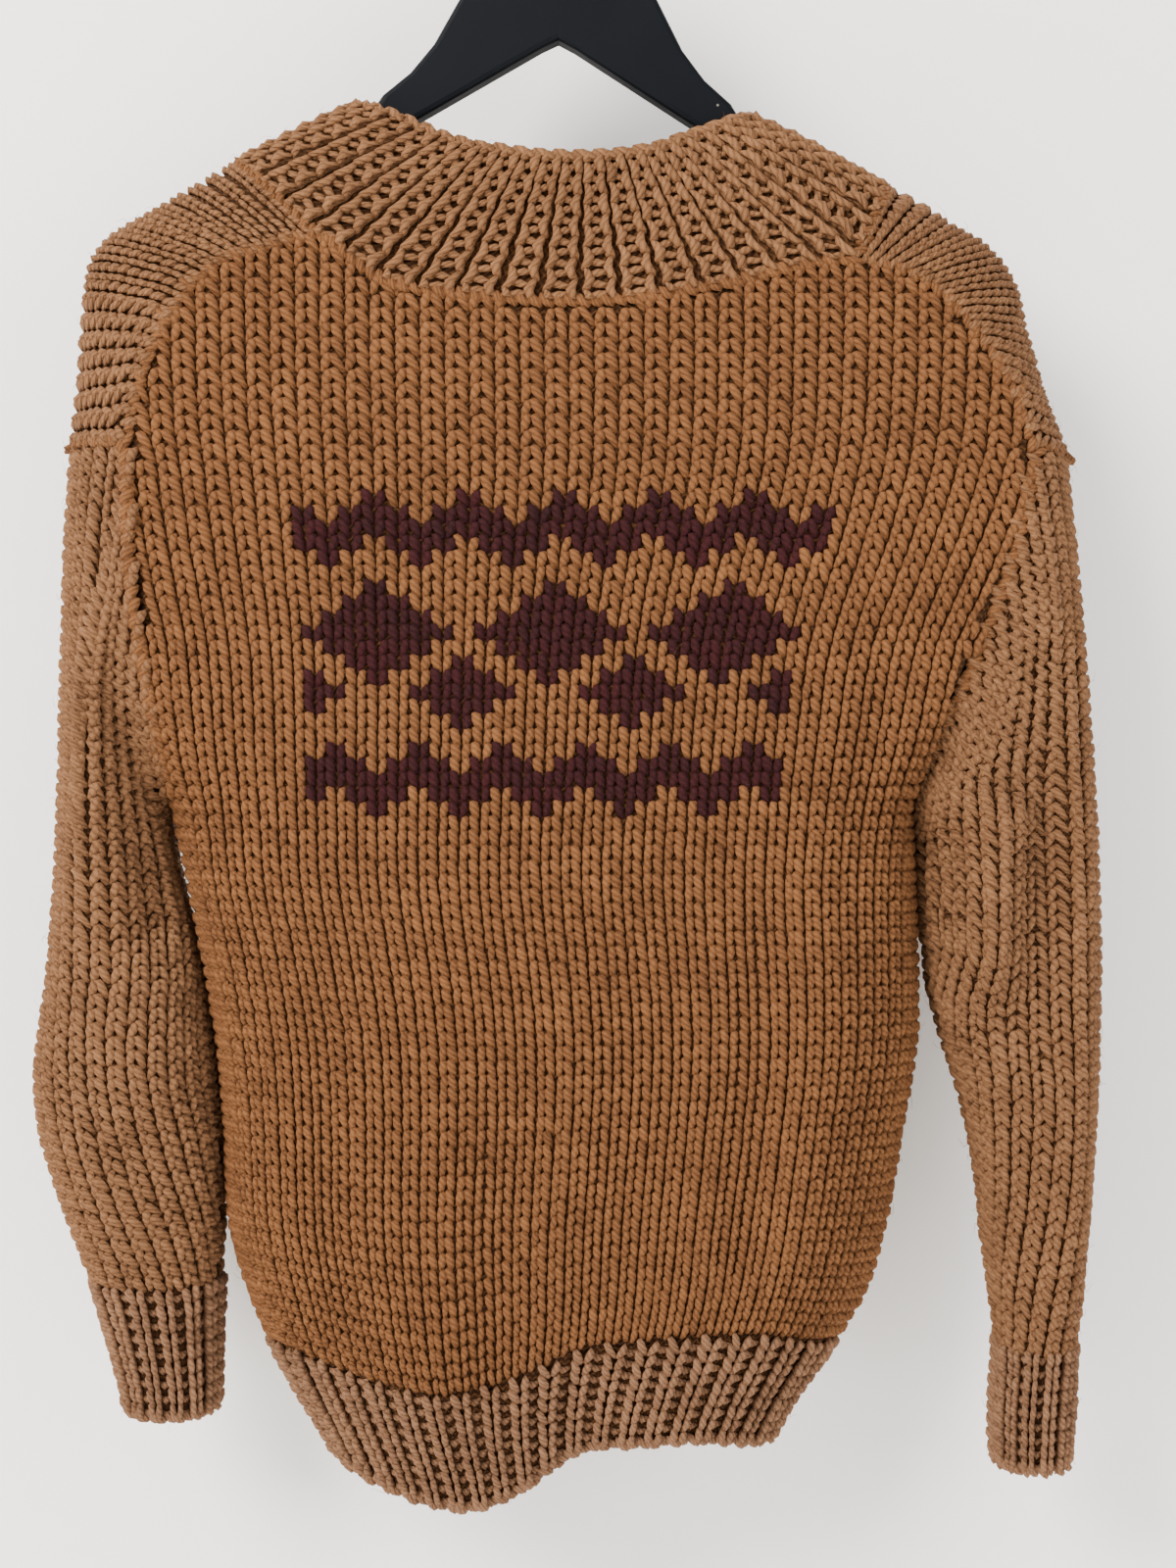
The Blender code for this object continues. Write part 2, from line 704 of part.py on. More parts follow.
def sleeve_grid(armhole, table, cuff_drop, folds, outward, lead_rows=9, free_rows=7):
    knots = sleeve_knots()
    shares = loop_shares(armhole, knots)
    start = ring(armhole, knots)
    start = np.stack([start[:, 0], start[:, 2], -start[:, 1]], axis=1)
    half_knot = np.minimum(knots, LOOP_KNOTS - knots)
    out = smooth(SLEEVE_START, 1, half_knot)
    down = smooth(SLEEVE_START, 2, half_knot)
    reach = smooth(SLEEVE_START, 3, half_knot)[:, None]
    away = unit(np.stack([outward * out, np.zeros(len(out)), -down], axis=1)) * reach
    end = sleeve_ring(table, SLEEVE_FREE_DROP, shares)
    below = sleeve_ring(table, SLEEVE_FREE_DROP + SLEEVE_SETTLE, shares)
    arrive = unit(below - end) * np.linalg.norm(end - start, axis=1)[:, None] * SLEEVE_PULL
    rows = []
    for t in np.linspace(0, 1, lead_rows + 1):
        rise = t * t * (3 - 2 * t)
        rows.append(
            start * (1 - rise)
            + end * rise
            + away * t * (1 - t) ** 2
            - arrive * t * t * (1 - t)
        )
    for drop in np.linspace(SLEEVE_FREE_DROP, cuff_drop, free_rows + 1)[1:]:
        rows.append(sleeve_ring(table, drop, shares))
    grid = np.stack(rows)
    fade = np.ones(grid.shape[:2])
    fade[0] = 0.0
    fade[1] = 0.5
    return add_folds(grid, folds, fade)


# Ribbed bands follow the panel above them, with columns raised in the outer points only
def rib_raise(places, ribs, shape):
    raised = RIB_HEIGHT * (0.5 - 0.5 * np.cos(2 * math.pi * places * ribs))
    raised = np.broadcast_to(raised, shape[:2]).copy()
    raised[0] *= 0.3
    return raised


def along_line(line, places, at):
    return np.stack([np.interp(at, places, line[:, axis]) for axis in range(3)], axis=1)


def body_band(side, part, hem, shares, ribs, panel, panel_normals, seams, folds):
    """Grid, normals and raised ribs of a hem band under a panel of the body."""
    at = np.linspace(0, 1, 4 * ribs + 1)
    top = smooth(hem, 1, at)
    edge = smooth(hem, 2, at)
    rows = [along_line(panel[-1], shares, at)]
    for t in (0.5, 1.0):
        drops = top + (edge - top) * t
        rows.append(add_folds(body_points(at, drops, side, part), folds, 1.0))
    grid = np.stack(rows)
    normals = grid_normals(grid, -side)
    above = [seams.shared(p, n) for p, n in zip(panel[-1], panel_normals[-1])]
    normals[0] = unit(along_line(np.array(above), shares, at))
    for edge in ("left", "right"):
        where = edge_index(grid.shape, edge)
        seams.add(grid[where], normals[where])
    return grid, normals, rib_raise(at, ribs, grid.shape)


def cuff_band(table, drops, sleeve, sleeve_normals, shares, outward):
    at = np.arange(4 * CUFF_RIBS) / (4 * CUFF_RIBS)
    places = np.concatenate([shares, [1.0]])
    rows = [along_line(np.concatenate([sleeve[-1], sleeve[-1][:1]]), places, at)]
    for t in (0.5, 1.0):
        rows.append(sleeve_ring(table, drops[0] + (drops[1] - drops[0]) * t, at))
    grid = np.stack(rows)
    normals = grid_normals(grid, -outward, True)
    above = np.concatenate([sleeve_normals[-1], sleeve_normals[-1][:1]])
    normals[0] = unit(along_line(above, places, at))
    return grid, normals, rib_raise(at, CUFF_RIBS, grid.shape)


# Collar: one strip from zip to zip round the neck, with ridges across it
def strip_places(line):
    length = np.concatenate([[0], np.cumsum(np.linalg.norm(np.diff(line, axis=0), axis=1))])
    return length / length[-1]


def collar_grid(base, at, rows=4):
    edge = np.stack(
        [smooth(COLLAR_EDGE, 1, at), smooth(COLLAR_EDGE, 3, at), -smooth(COLLAR_EDGE, 2, at)],
        axis=1,
    )
    levels = [base * (1 - t) + edge * t for t in np.linspace(0, 1, rows)]
    return np.stack(levels)


def share_collar_seam(neck_line, seams):
    places = strip_places(neck_line)
    rough = collar_grid(neck_line, places)
    rough_normals = grid_normals(rough, collar_sign(rough))
    seams.add(rough[0], rough_normals[0])
    return places


def collar_sign(grid):
    """The sign that makes a collar normal point away from the neck."""
    normals = grid_normals(grid, 1.0)
    middle = grid.shape[1] // 2
    return 1.0 if normals[1, middle, 1] < 0 else -1.0


def collar_object(neck_line, places, seams):
    columns = 3 * COLLAR_RIDGES + 1
    at = np.linspace(0, 1, columns)
    base = along_line(neck_line, places, at)
    grid = collar_grid(base, at)
    normals = grid_normals(grid, collar_sign(grid))
    own = grid_normals(collar_grid(neck_line, places), collar_sign(grid))[0]
    shared = np.stack([seams.shared(p, n) for p, n in zip(neck_line, own)])
    normals[0] = unit(along_line(shared, places, at))
    bulge = COLLAR_BULGE * np.sin(math.pi * np.linspace(0, 1, len(grid)))[:, None, None]
    grid = grid + normals * bulge
    crest = np.array((0.0, 1.0, 1.0))
    raised = COLLAR_RIDGE_HEIGHT * crest[np.arange(columns) % 3]
    raised = np.broadcast_to(raised, grid.shape[:2]).copy()
    raised[0] = 0.0
    tangent = np.gradient(grid[0], axis=0)
    step = unit(np.cross(tangent, normals[0]))
    step *= np.sign(np.sum(step * (grid[1] - grid[0]), axis=-1, keepdims=True))
    move = np.zeros(grid.shape)
    move[0] = step * SEAM / 2
    outer = grid + move + normals * raised[..., None]
    inner = grid + move - normals * WALL
    wall_object("collar", outer, inner, CAMEL)
    return inner


# Zip: tapes inside the front edges, a bottom stop, a slider and its pull tab
def zip_line(pieces):
    """Drop and depth of the inner face along the zip, from the collar's edge to the hem."""
    points = np.concatenate([piece.reshape(-1, 3) for piece in pieces])
    near = points[np.abs(points[:, 0]) < ZIP_REACH]
    drops = np.linspace(ZIP_TOP_DROP, ZIP_END_DROP, ZIP_ROWS)
    depths = []
    for drop in drops:
        close = near[np.abs(-near[:, 2] - drop) < ROW_REACH]
        depths.append(close[:, 1].min() - SEAM)
    return drops, np.array(depths)


def tape(name, side, drops, depths):
    edges = np.array((TAPE_INNER, TAPE_OUTER)) * side
    rows = []
    for drop, depth in zip(drops, depths):
        rows.append([(edge, depth, -drop) for edge in edges])
    outer = np.array(rows)
    inner = outer - np.array((0, TAPE_THICK, 0))
    wall_object(name, outer, inner, TAPE_BROWN)


def box_mesh(centre, size):
    """A closed box mesh in metres from sizes in millimetres."""
    bpy.ops.mesh.primitive_cube_add(size=1.0, location=[value * MM for value in centre])
    made = bpy.context.object
    made.scale = [value * MM for value in size]
    bpy.ops.object.transform_apply(location=False, rotation=False, scale=True)
    return made


def combine(target, other, operation):
    modifier = target.modifiers.new(operation.lower(), "BOOLEAN")
    modifier.operation = operation
    modifier.object = other
    bpy.context.view_layer.objects.active = target
    bpy.ops.object.modifier_apply(modifier=modifier.name)
    bpy.data.objects.remove(other)


def finish_piece(made, name, colour, roughness, metallic):
    made.name = name
    made.data.name = name
    for collection in list(made.users_collection):
        collection.objects.unlink(made)
    CARDIGAN.objects.link(made)
    made.data.materials.clear()
    made.data.materials.append(material(name, colour, roughness, metallic))


def boxes_made(table, at_y, name):
    """One piece made from a table of boxes, each joined to the first or cut from it."""
    first, *others = table
    piece = box_mesh((0, at_y + first[1], first[2] - SLIDER_DROP), first[3:])
    for operation, out, up, *size in others:
        combine(piece, box_mesh((0, at_y + out, up - SLIDER_DROP), size), operation)
    finish_piece(piece, name, BRASS, 0.35, 1.0)


def slider_and_tab(face_y):
    front_y = face_y + SEAM + SLIDER_THICK
    boxes_made(SLIDER_BOXES, front_y, "zip_slider")
    pivot_y = front_y + PIVOT_OUT
    boxes_made(TAB_BOXES, pivot_y, "zip_pull_tab")


def bottom_stop(face_y):
    stop = box_mesh((0, face_y + SEAM + STOP_SIZE[1] / 2, -STOP_DROP), STOP_SIZE)
    finish_piece(stop, "zip_bottom_stop", BRASS, 0.35, 1.0)


# Hanger: a flat outline with rounded edges, tilted a little, and a wire hook
def tilted(x, drop):
    angle = math.radians(HANGER_TILT)
    return (
        x * math.cos(angle) - drop * math.sin(angle),
        drop * math.cos(angle) + x * math.sin(angle),
    )


def hanger_object():
    right = list(HANGER_TOP) + list(HANGER_BOTTOM)
    left = [(-x, drop) for x, drop in reversed(right)]
    outline = right + [(0.0, HANGER_NOTCH)] + left
    outline = [tilted(x, drop) for x, drop in outline]
    curve = bpy.data.curves.new("hanger_outline", "CURVE")
    curve.dimensions = "2D"
    curve.fill_mode = "BOTH"
    curve.extrude = HANGER_THICK / 2 * MM
    spline = curve.splines.new("POLY")
    spline.points.add(len(outline) - 1)
    for point, (x, drop) in zip(spline.points, outline):
        point.co = (x * MM, -drop * MM, 0, 1)
    spline.use_cyclic_u = True
    guide = bpy.data.objects.new("hanger_outline", curve)
    bpy.context.scene.collection.objects.link(guide)
    bpy.context.view_layer.update()
    graph = bpy.context.evaluated_depsgraph_get()
    mesh = bpy.data.meshes.new_from_object(guide.evaluated_get(graph))
    bpy.data.objects.remove(guide)
    made = bpy.data.objects.new("hanger", mesh)
    bpy.context.scene.collection.objects.link(made)
    made.rotation_euler = (math.pi / 2, 0, 0)
    finish_piece(made, "hanger", BLACK_WOOD, 0.35, 0.0)
    weld = made.modifiers.new("weld", "WELD")
    weld.merge_threshold = 0.00001
    bevel = made.modifiers.new("rounded", "BEVEL")
    bevel.width = HANGER_ROUND * MM
    bevel.segments = 2
    bevel.limit_method = "ANGLE"
    bevel.angle_limit = math.radians(60)
    mesh.shade_smooth()


def hook_object():
    centre_drop = HOOK_RADIUS - HOOK_WIRE
    points = []
    for step in range(HOOK_STEPS):
        angle = math.radians(HOOK_START - step * HOOK_STEP)
        x, rise = HOOK_RADIUS * math.cos(angle), HOOK_RADIUS * math.sin(angle)
        points.append((x, centre_drop - rise))
    points += HOOK_STEM
    curve = bpy.data.curves.new("hanger_hook", "CURVE")
    curve.dimensions = "3D"
    curve.bevel_depth = HOOK_WIRE * MM
    curve.bevel_resolution = 1
    curve.use_fill_caps = True
    spline = curve.splines.new("POLY")
    spline.points.add(len(points) - 1)
    for point, (x, drop) in zip(spline.points, points):
        x, drop = tilted(x, drop)
        point.co = (x * MM, 0, -drop * MM, 1)
    made = bpy.data.objects.new("hanger_hook", curve)
    CARDIGAN.objects.link(made)
    curve.materials.append(material("hanger_hook", STEEL, 0.25, 1.0))


def build():
    seams = Seams()
    back = back_grid()
    left_front = front_grid("left")
    right_front = front_grid("right")
    count = SHOULDER_COLUMNS + 1
    left_strap = strap_grid(back[0, :count], left_front[0, :count], LEFT_RIDGE, LEFT_ARMHOLE)
    right_strap = strap_grid(
        back[0, ::-1][:count], right_front[0, ::-1][:count], RIGHT_RIDGE, RIGHT_ARMHOLE
    )
    left_sleeve = sleeve_grid(LEFT_ARMHOLE, LEFT_SLEEVE, LEFT_CUFF[0], LEFT_SLEEVE_FOLDS, -1)
    right_sleeve = sleeve_grid(RIGHT_ARMHOLE, RIGHT_SLEEVE, RIGHT_CUFF[0], RIGHT_SLEEVE_FOLDS, 1)

    panels = {
        "back": (back, 1.0, False, ["top", "left", "right", "bottom"]),
        "left_front": (left_front, -1.0, False, ["top", "left", "bottom"]),
        "right_front": (right_front, -1.0, False, ["top", "right", "bottom"]),
        "left_shoulder_strap": (left_strap, 1.0, False, ["top", "bottom", "left", "right"]),
        "right_shoulder_strap": (right_strap, -1.0, False, ["top", "bottom", "left", "right"]),
        "left_sleeve": (left_sleeve, 1.0, True, ["top", "bottom"]),
        "right_sleeve": (right_sleeve, -1.0, True, ["top", "bottom"]),
    }
    normals = {}
    for name, (grid, outward, round_tube, edges) in panels.items():
        normals[name] = grid_normals(grid, outward, round_tube)
        for edge in edges:
            where = edge_index(grid.shape, edge)
            seams.add(grid[where], normals[name][where])

    neck_line = joined(
        left_front[0, ::-1][: len(left_front[0]) - SHOULDER_COLUMNS],
        left_strap[-1, ::-1],
        back[0, SHOULDER_COLUMNS : len(back[0]) - SHOULDER_COLUMNS],
        right_strap[-1],
        right_front[0, ::-1][SHOULDER_COLUMNS:],
    )
    places = share_collar_seam(neck_line, seams)

    bands = {
        "back_hem_rib": body_band(
            -1, None, BACK_HEM, back_shares(), BACK_RIBS, back, normals["back"], seams, BACK_FOLDS
        ),
        "left_front_hem_rib": body_band(
            1, "left", LEFT_FRONT_HEM, front_shares(LEFT_FRONT_NECK), FRONT_RIBS,
            left_front, normals["left_front"], seams, (),
        ),
        "right_front_hem_rib": body_band(
            1, "right", RIGHT_FRONT_HEM, 1 - front_shares(RIGHT_FRONT_NECK)[::-1], FRONT_RIBS,
            right_front, normals["right_front"], seams, (),
        ),
        "left_cuff": cuff_band(
            LEFT_SLEEVE, LEFT_CUFF, left_sleeve, normals["left_sleeve"],
            loop_shares(LEFT_ARMHOLE, sleeve_knots()), -1,
        ),
        "right_cuff": cuff_band(
            RIGHT_SLEEVE, RIGHT_CUFF, right_sleeve, normals["right_sleeve"],
            loop_shares(RIGHT_ARMHOLE, sleeve_knots()), 1,
        ),
    }

    inner = {"collar": collar_object(neck_line, places, seams)}
    for name, (grid, outward, round_tube, edges) in panels.items():
        outer, inner[name] = wall_grids(grid, normals[name], seams, edges, round_tube)
        wall_object(name, outer, inner[name], CAMEL, round_tube)
    for name, (grid, band_normals, raised) in bands.items():
        round_tube = name.endswith("cuff")
        edges = ["top"]
        if name in ("back_hem_rib", "left_front_hem_rib"):
            edges.append("left")
        if name in ("back_hem_rib", "right_front_hem_rib"):
            edges.append("right")
        outer, inner[name] = wall_grids(grid, band_normals, seams, edges, round_tube, raised)
        wall_object(name, outer, inner[name], CAMEL, round_tube)

    fronts = [piece[piece[..., 1] > 20.0] for name, piece in inner.items() if name in ZIP_SIDES]
    drops, depths = zip_line(fronts)
    tape("left_zip_tape", -1, drops, depths)
    tape("right_zip_tape", 1, drops, depths)
    slider_and_tab(float(np.interp(SLIDER_DROP + 6, drops, depths)))
    bottom_stop(float(np.interp(STOP_DROP, drops, depths)))
    hanger_object()
    hook_object()


for old in list(bpy.data.objects):
    bpy.data.objects.remove(old)
CARDIGAN = bpy.data.collections.new("zip_cardigan")
bpy.context.scene.collection.children.link(CARDIGAN)
build()
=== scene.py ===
import math

import bpy
import numpy as np
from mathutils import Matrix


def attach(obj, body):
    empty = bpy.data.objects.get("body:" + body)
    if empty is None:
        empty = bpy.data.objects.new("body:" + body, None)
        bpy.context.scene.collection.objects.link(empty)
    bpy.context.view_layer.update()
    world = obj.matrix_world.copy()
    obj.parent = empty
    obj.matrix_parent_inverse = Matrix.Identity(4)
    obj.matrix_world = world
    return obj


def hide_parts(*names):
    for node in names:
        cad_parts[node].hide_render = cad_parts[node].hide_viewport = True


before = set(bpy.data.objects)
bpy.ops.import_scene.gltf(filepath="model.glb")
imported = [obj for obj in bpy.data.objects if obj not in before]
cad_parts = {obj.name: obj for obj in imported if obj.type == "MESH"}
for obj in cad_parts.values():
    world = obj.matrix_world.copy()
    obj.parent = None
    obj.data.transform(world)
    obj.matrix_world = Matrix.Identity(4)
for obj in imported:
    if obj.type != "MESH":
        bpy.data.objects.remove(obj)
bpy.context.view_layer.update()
rng = np.random.default_rng(7)

# The back is one hand-knitted panel of thick camel wool, worked from the rib upwards in
# plain stocking stitch, 44 stitches wide, with a band of burgundy pattern across it.
# Sizes are in millimetres from the hook, and "drop" is the depth below it.
MM = 0.001
STATIONS = 161
CORNER_KNOT = 3
UNDERARM_KNOT = 9
LOOP_KNOTS = 18
UNDERARM_DROP = 497.0
SQUARENESS = 2.5
ZIP_HALF_GAP = 5.0
FACING_DEPTH = 25.0
SETTLE = (425.0, 530.0)
SETTLE_KNOT = (490.0, 0.62)
RUN_ON = 90.0
EASE_ROWS = 14
EASE_SPREAD = 6.0
EASE_EDGE = (0.01, 0.09)

# Armhole ring, back half, from the shoulder's top to the underarm: x, drop, y
LEFT_ARMHOLE = (
    (-240.0, 322.0, 0.0),
    (-233.0, 323.0, -20.0),
    (-218.0, 325.0, -36.0),
    (-206.0, 329.0, -43.0),
    (-204.0, 360.0, -46.0),
    (-202.0, 395.0, -47.0),
    (-198.0, 426.0, -44.0),
    (-194.0, 456.0, -37.0),
    (-192.0, 482.0, -23.0),
    (-191.0, 497.0, 0.0),
)
RIGHT_ARMHOLE = (
    (243.0, 327.0, 0.0),
    (239.0, 327.0, -18.0),
    (231.0, 328.0, -34.0),
    (221.0, 331.0, -42.0),
    (214.0, 362.0, -46.0),
    (204.0, 396.0, -47.0),
    (193.0, 426.0, -44.0),
    (181.0, 456.0, -37.0),
    (172.0, 482.0, -23.0),
    (168.5, 497.0, 0.0),
)
# Body sections: drop, left edge, right edge, depth of back, depth of front
BODY = (
    (210.0, -191.0, 168.5, 40.0, 40.0),
    (262.0, -191.0, 168.5, 46.0, 45.0),
    (330.0, -191.0, 168.5, 48.0, 48.0),
    (400.0, -191.0, 168.5, 52.0, 51.0),
    (497.0, -191.0, 168.5, 58.0, 54.0),
    (531.0, -184.0, 169.5, 60.0, 55.0),
    (569.0, -176.5, 171.0, 61.0, 56.0),
    (609.0, -169.5, 170.5, 61.0, 56.0),
    (651.0, -165.5, 164.0, 61.0, 55.0),
    (700.0, -162.5, 155.0, 60.0, 53.0),
    (733.0, -153.0, 145.0, 58.0, 50.0),
    (757.0, -142.0, 130.0, 56.0, 47.0),
    (777.0, -131.0, 115.0, 53.0, 44.0),
    (797.0, -118.0, 103.0, 50.0, 41.0),
    (825.0, -103.0, 92.0, 46.0, 38.0),
)
# Top edge of the back across its width: share, drop
BACK_TOP = (
    (0.0, 329.0),
    (0.015, 303.0),
    (0.035, 281.0),
    (0.07, 257.0),
    (0.105, 243.0),
    (0.15, 237.0),
    (0.211, 231.0),
    (0.281, 251.0),
    (0.378, 259.0),
    (0.466, 262.0),
    (0.547, 261.0),
    (0.621, 256.5),
    (0.687, 251.0),
    (0.742, 245.0),
    (0.80, 242.5),
    (0.86, 248.0),
    (0.90, 260.0),
    (0.94, 280.0),
    (0.97, 300.0),
    (1.0, 331.0),
)
BACK_NECK = (0.211, 0.80)
# Rib line and hem edge of the back: share, top of rib, hem edge
BACK_HEM = (
    (0.0, 755.0, 803.0),
    (0.12, 757.0, 810.0),
    (0.25, 766.0, 818.0),
    (0.36, 770.0, 821.0),
    (0.46, 762.0, 812.0),
    (0.54, 751.0, 799.0),
    (0.66, 746.0, 794.0),
    (0.78, 746.0, 794.0),
    (0.88, 752.0, 799.0),
    (1.0, 757.0, 801.0),
)
# Large folds, then light creases: x, drop, x, drop, width, height
BACK_FOLDS = (
    (-66.0, 760.0, -62.0, 830.0, 42.0, 12.0),
    (8.0, 770.0, 10.0, 830.0, 20.0, -6.0),
    (-60.0, 560.0, -66.0, 720.0, 34.0, 4.0),
    (40.0, 520.0, 36.0, 700.0, 26.0, -4.0),
    (120.0, 520.0, 110.0, 700.0, 26.0, 5.5),
    (-203.0, 345.0, -187.0, 545.0, 12.0, -3.0),
    (-170.0, 400.0, -150.0, 560.0, 16.0, -1.6),
    (-120.0, 330.0, -104.0, 470.0, 14.0, 1.4),
    (-30.0, 300.0, -26.0, 420.0, 15.0, -1.3),
    (62.0, 300.0, 70.0, 430.0, 14.0, 1.2),
    (150.0, 420.0, 128.0, 540.0, 14.0, -2.4),
    (88.0, 560.0, 80.0, 700.0, 13.0, -4.0),
    (-118.0, 600.0, -110.0, 730.0, 15.0, -4.0),
    (2.0, 590.0, -10.0, 750.0, 16.0, 3.4),
    (-34.0, 640.0, -40.0, 770.0, 13.0, -3.0),
)


def curve_through(table, column, at):
    """A smooth curve through one column of a table: cubic pieces whose slopes at the rows
    are those of the rows beside them."""
    rows = np.asarray(table, float)
    xs, ys = rows[:, 0], rows[:, column]
    slopes = np.gradient(ys, xs)
    at = np.clip(np.asarray(at, float), xs[0], xs[-1])
    low = np.clip(np.searchsorted(xs, at, side="right") - 1, 0, len(xs) - 2)
    span = xs[low + 1] - xs[low]
    t = (at - xs[low]) / span
    rise = t * t * (3 - 2 * t)
    start = t * (1 - t) ** 2 * span * slopes[low]
    end = -t * t * (1 - t) * span * slopes[low + 1]
    return ys[low] * (1 - rise) + ys[low + 1] * rise + start + end


def unit(vectors):
    """Vectors divided by their own length."""
    length = np.linalg.norm(vectors, axis=-1, keepdims=True)
    return vectors / np.maximum(length, 1e-9)


def flattened(ways, normals):
    """Directions with their part along the normals taken out, divided by their length."""
    return unit(ways - normals * np.sum(ways * normals, axis=-1, keepdims=True))


def gone_along(line):
    """Length from a line's first point to each of its points."""
    steps = np.linalg.norm(np.diff(line, axis=0), axis=1)
    return np.concatenate([[0], np.cumsum(steps)])


def squared(wave):
    """A sine or cosine raised to 2 over the body's squareness, with its sign kept."""
    return np.sign(wave) * np.abs(wave) ** (2 / SQUARENESS)


def armhole_at(table, knot):
    """Points (x, y, z) of the armhole loop, a smooth closed curve through the table's back
    half and its mirror image on the front."""
    back = np.asarray(table, float)
    loop = np.concatenate([back, back[-2:0:-1] * (1, 1, -1)])
    count = len(loop)
    knot = np.mod(np.asarray(knot, float), count)
    low = np.floor(knot).astype(int)
    t = (knot - low)[..., None]
    before, start, end, after = (loop[(low + step) % count] for step in (-1, 0, 1, 2))
    rise = t * t * (3 - 2 * t)
    found = start * (1 - rise) + end * rise
    found = found + (end - before) / 2 * t * (1 - t) ** 2
    found = found - (after - start) / 2 * t * t * (1 - t)
    return np.stack([found[..., 0], found[..., 2], -found[..., 1]], axis=-1)


def body_edge(table, column, drop):
    """Edge of the body at each drop: the armhole above the underarm, the side seam below."""
    dense = armhole_at(table, np.linspace(CORNER_KNOT, UNDERARM_KNOT, 241))
    high = drop < UNDERARM_DROP
    x = np.where(high, np.interp(drop, -dense[:, 2], dense[:, 0]), curve_through(BODY, column, drop))
    y = np.where(high, np.interp(drop, -dense[:, 2], -dense[:, 1]), 0.0)
    return x, y


def settled(drops, reach):
    """Half widths with the sudden step at the underarm eased over the rows about it, so that
    the wales fan out there instead of jumping."""
    top, bottom = SETTLE
    outside = (drops < top) | (drops > bottom)
    knots = np.concatenate([drops[outside], [SETTLE_KNOT[0]]])
    values = np.concatenate([reach[outside], [0.0]])
    start, end = np.interp([top, bottom], drops[outside], reach[outside])
    values[-1] = start + (end - start) * SETTLE_KNOT[1]
    order = np.argsort(knots)
    return np.interp(drops, knots[order], values[order])


def run_on(x, y, length):
    """A section carried on straight beyond both of its ends."""
    far = RUN_ON
    first = np.array((x[1] - x[0], y[1] - y[0])) / max(length[1] - length[0], 1e-6)
    last = np.array((x[-1] - x[-2], y[-1] - y[-2])) / max(length[-1] - length[-2], 1e-6)
    x = np.concatenate([[x[0] - far * first[0]], x, [x[-1] + far * last[0]]])
    y = np.concatenate([[y[0] - far * first[1]], y, [y[-1] + far * last[1]]])
    return x, y, np.concatenate([[length[0] - far], length, [length[-1] + far]])


def body_rows(shares, drops, side, part=None):
    """Level rows round one side of the body. Each row is a rounded box section from edge to
    edge, read at shares of its length, and cut at the zip for a left or right front."""
    left_x, left_y = body_edge(LEFT_ARMHOLE, 1, drops)
    right_x, right_y = body_edge(RIGHT_ARMHOLE, 2, drops)
    depth = curve_through(BODY, 3 if side < 0 else 4, drops)
    angle = np.linspace(0, math.pi, STATIONS)[None, :]
    across = (1 - squared(np.cos(angle))) / 2
    bump = squared(np.sin(angle))
    x = left_x[:, None] * (1 - across) + right_x[:, None] * across
    edge_y = left_y[:, None] * (1 - across) + right_y[:, None] * across
    y = side * (edge_y + (depth[:, None] - edge_y) * bump)
    length = np.cumsum(np.hypot(np.diff(x, axis=1), np.diff(y, axis=1)), axis=1)
    length = np.concatenate([np.zeros((len(x), 1)), length], axis=1)
    middle = np.array([np.interp(0.0, a, b) for a, b in zip(x, length)])
    left, right = settled(drops, middle), settled(drops, length[:, -1] - middle)
    rows = []
    for number, drop in enumerate(drops):
        row_x, row_y, row_length = run_on(x[number], y[number], length[number])
        start, end = middle[number] - left[number], middle[number] + right[number]
        if part == "right":
            start = np.interp(ZIP_HALF_GAP, row_x, row_length)
        if part == "left":
            end = np.interp(-ZIP_HALF_GAP, row_x, row_length)
        at = start + (end - start) * shares
        flat = [np.interp(at, row_length, row_x), np.interp(at, row_length, row_y)]
        rows.append(np.stack(flat + [np.full(len(at), -drop)], axis=1))
    edges = np.stack([middle - left, middle + right, length[:, -1], middle], axis=1)
    return np.stack(rows), edges


def push_folds(points, folds, facing_side=-1, fade=1.0):
    """Moves points that face one way, out or in, by a bell-shaped rise about each fold's line."""
    x, drop = points[..., 0], -points[..., 2]
    shift = np.zeros(x.shape)
    for x0, drop0, x1, drop1, width, height in folds:
        along = np.array((x1 - x0, drop1 - drop0))
        t = np.clip(((x - x0) * along[0] + (drop - drop0) * along[1]) / (along @ along), 0, 1)
        gap = np.hypot(x - x0 - t * along[0], drop - drop0 - t * along[1])
        shift += height * np.exp(-((gap / width) ** 2))
    facing = np.clip(facing_side * points[..., 1] / FACING_DEPTH, 0, 1)
    moved = points.copy()
    moved[..., 1] += facing_side * shift * facing * fade
    return moved


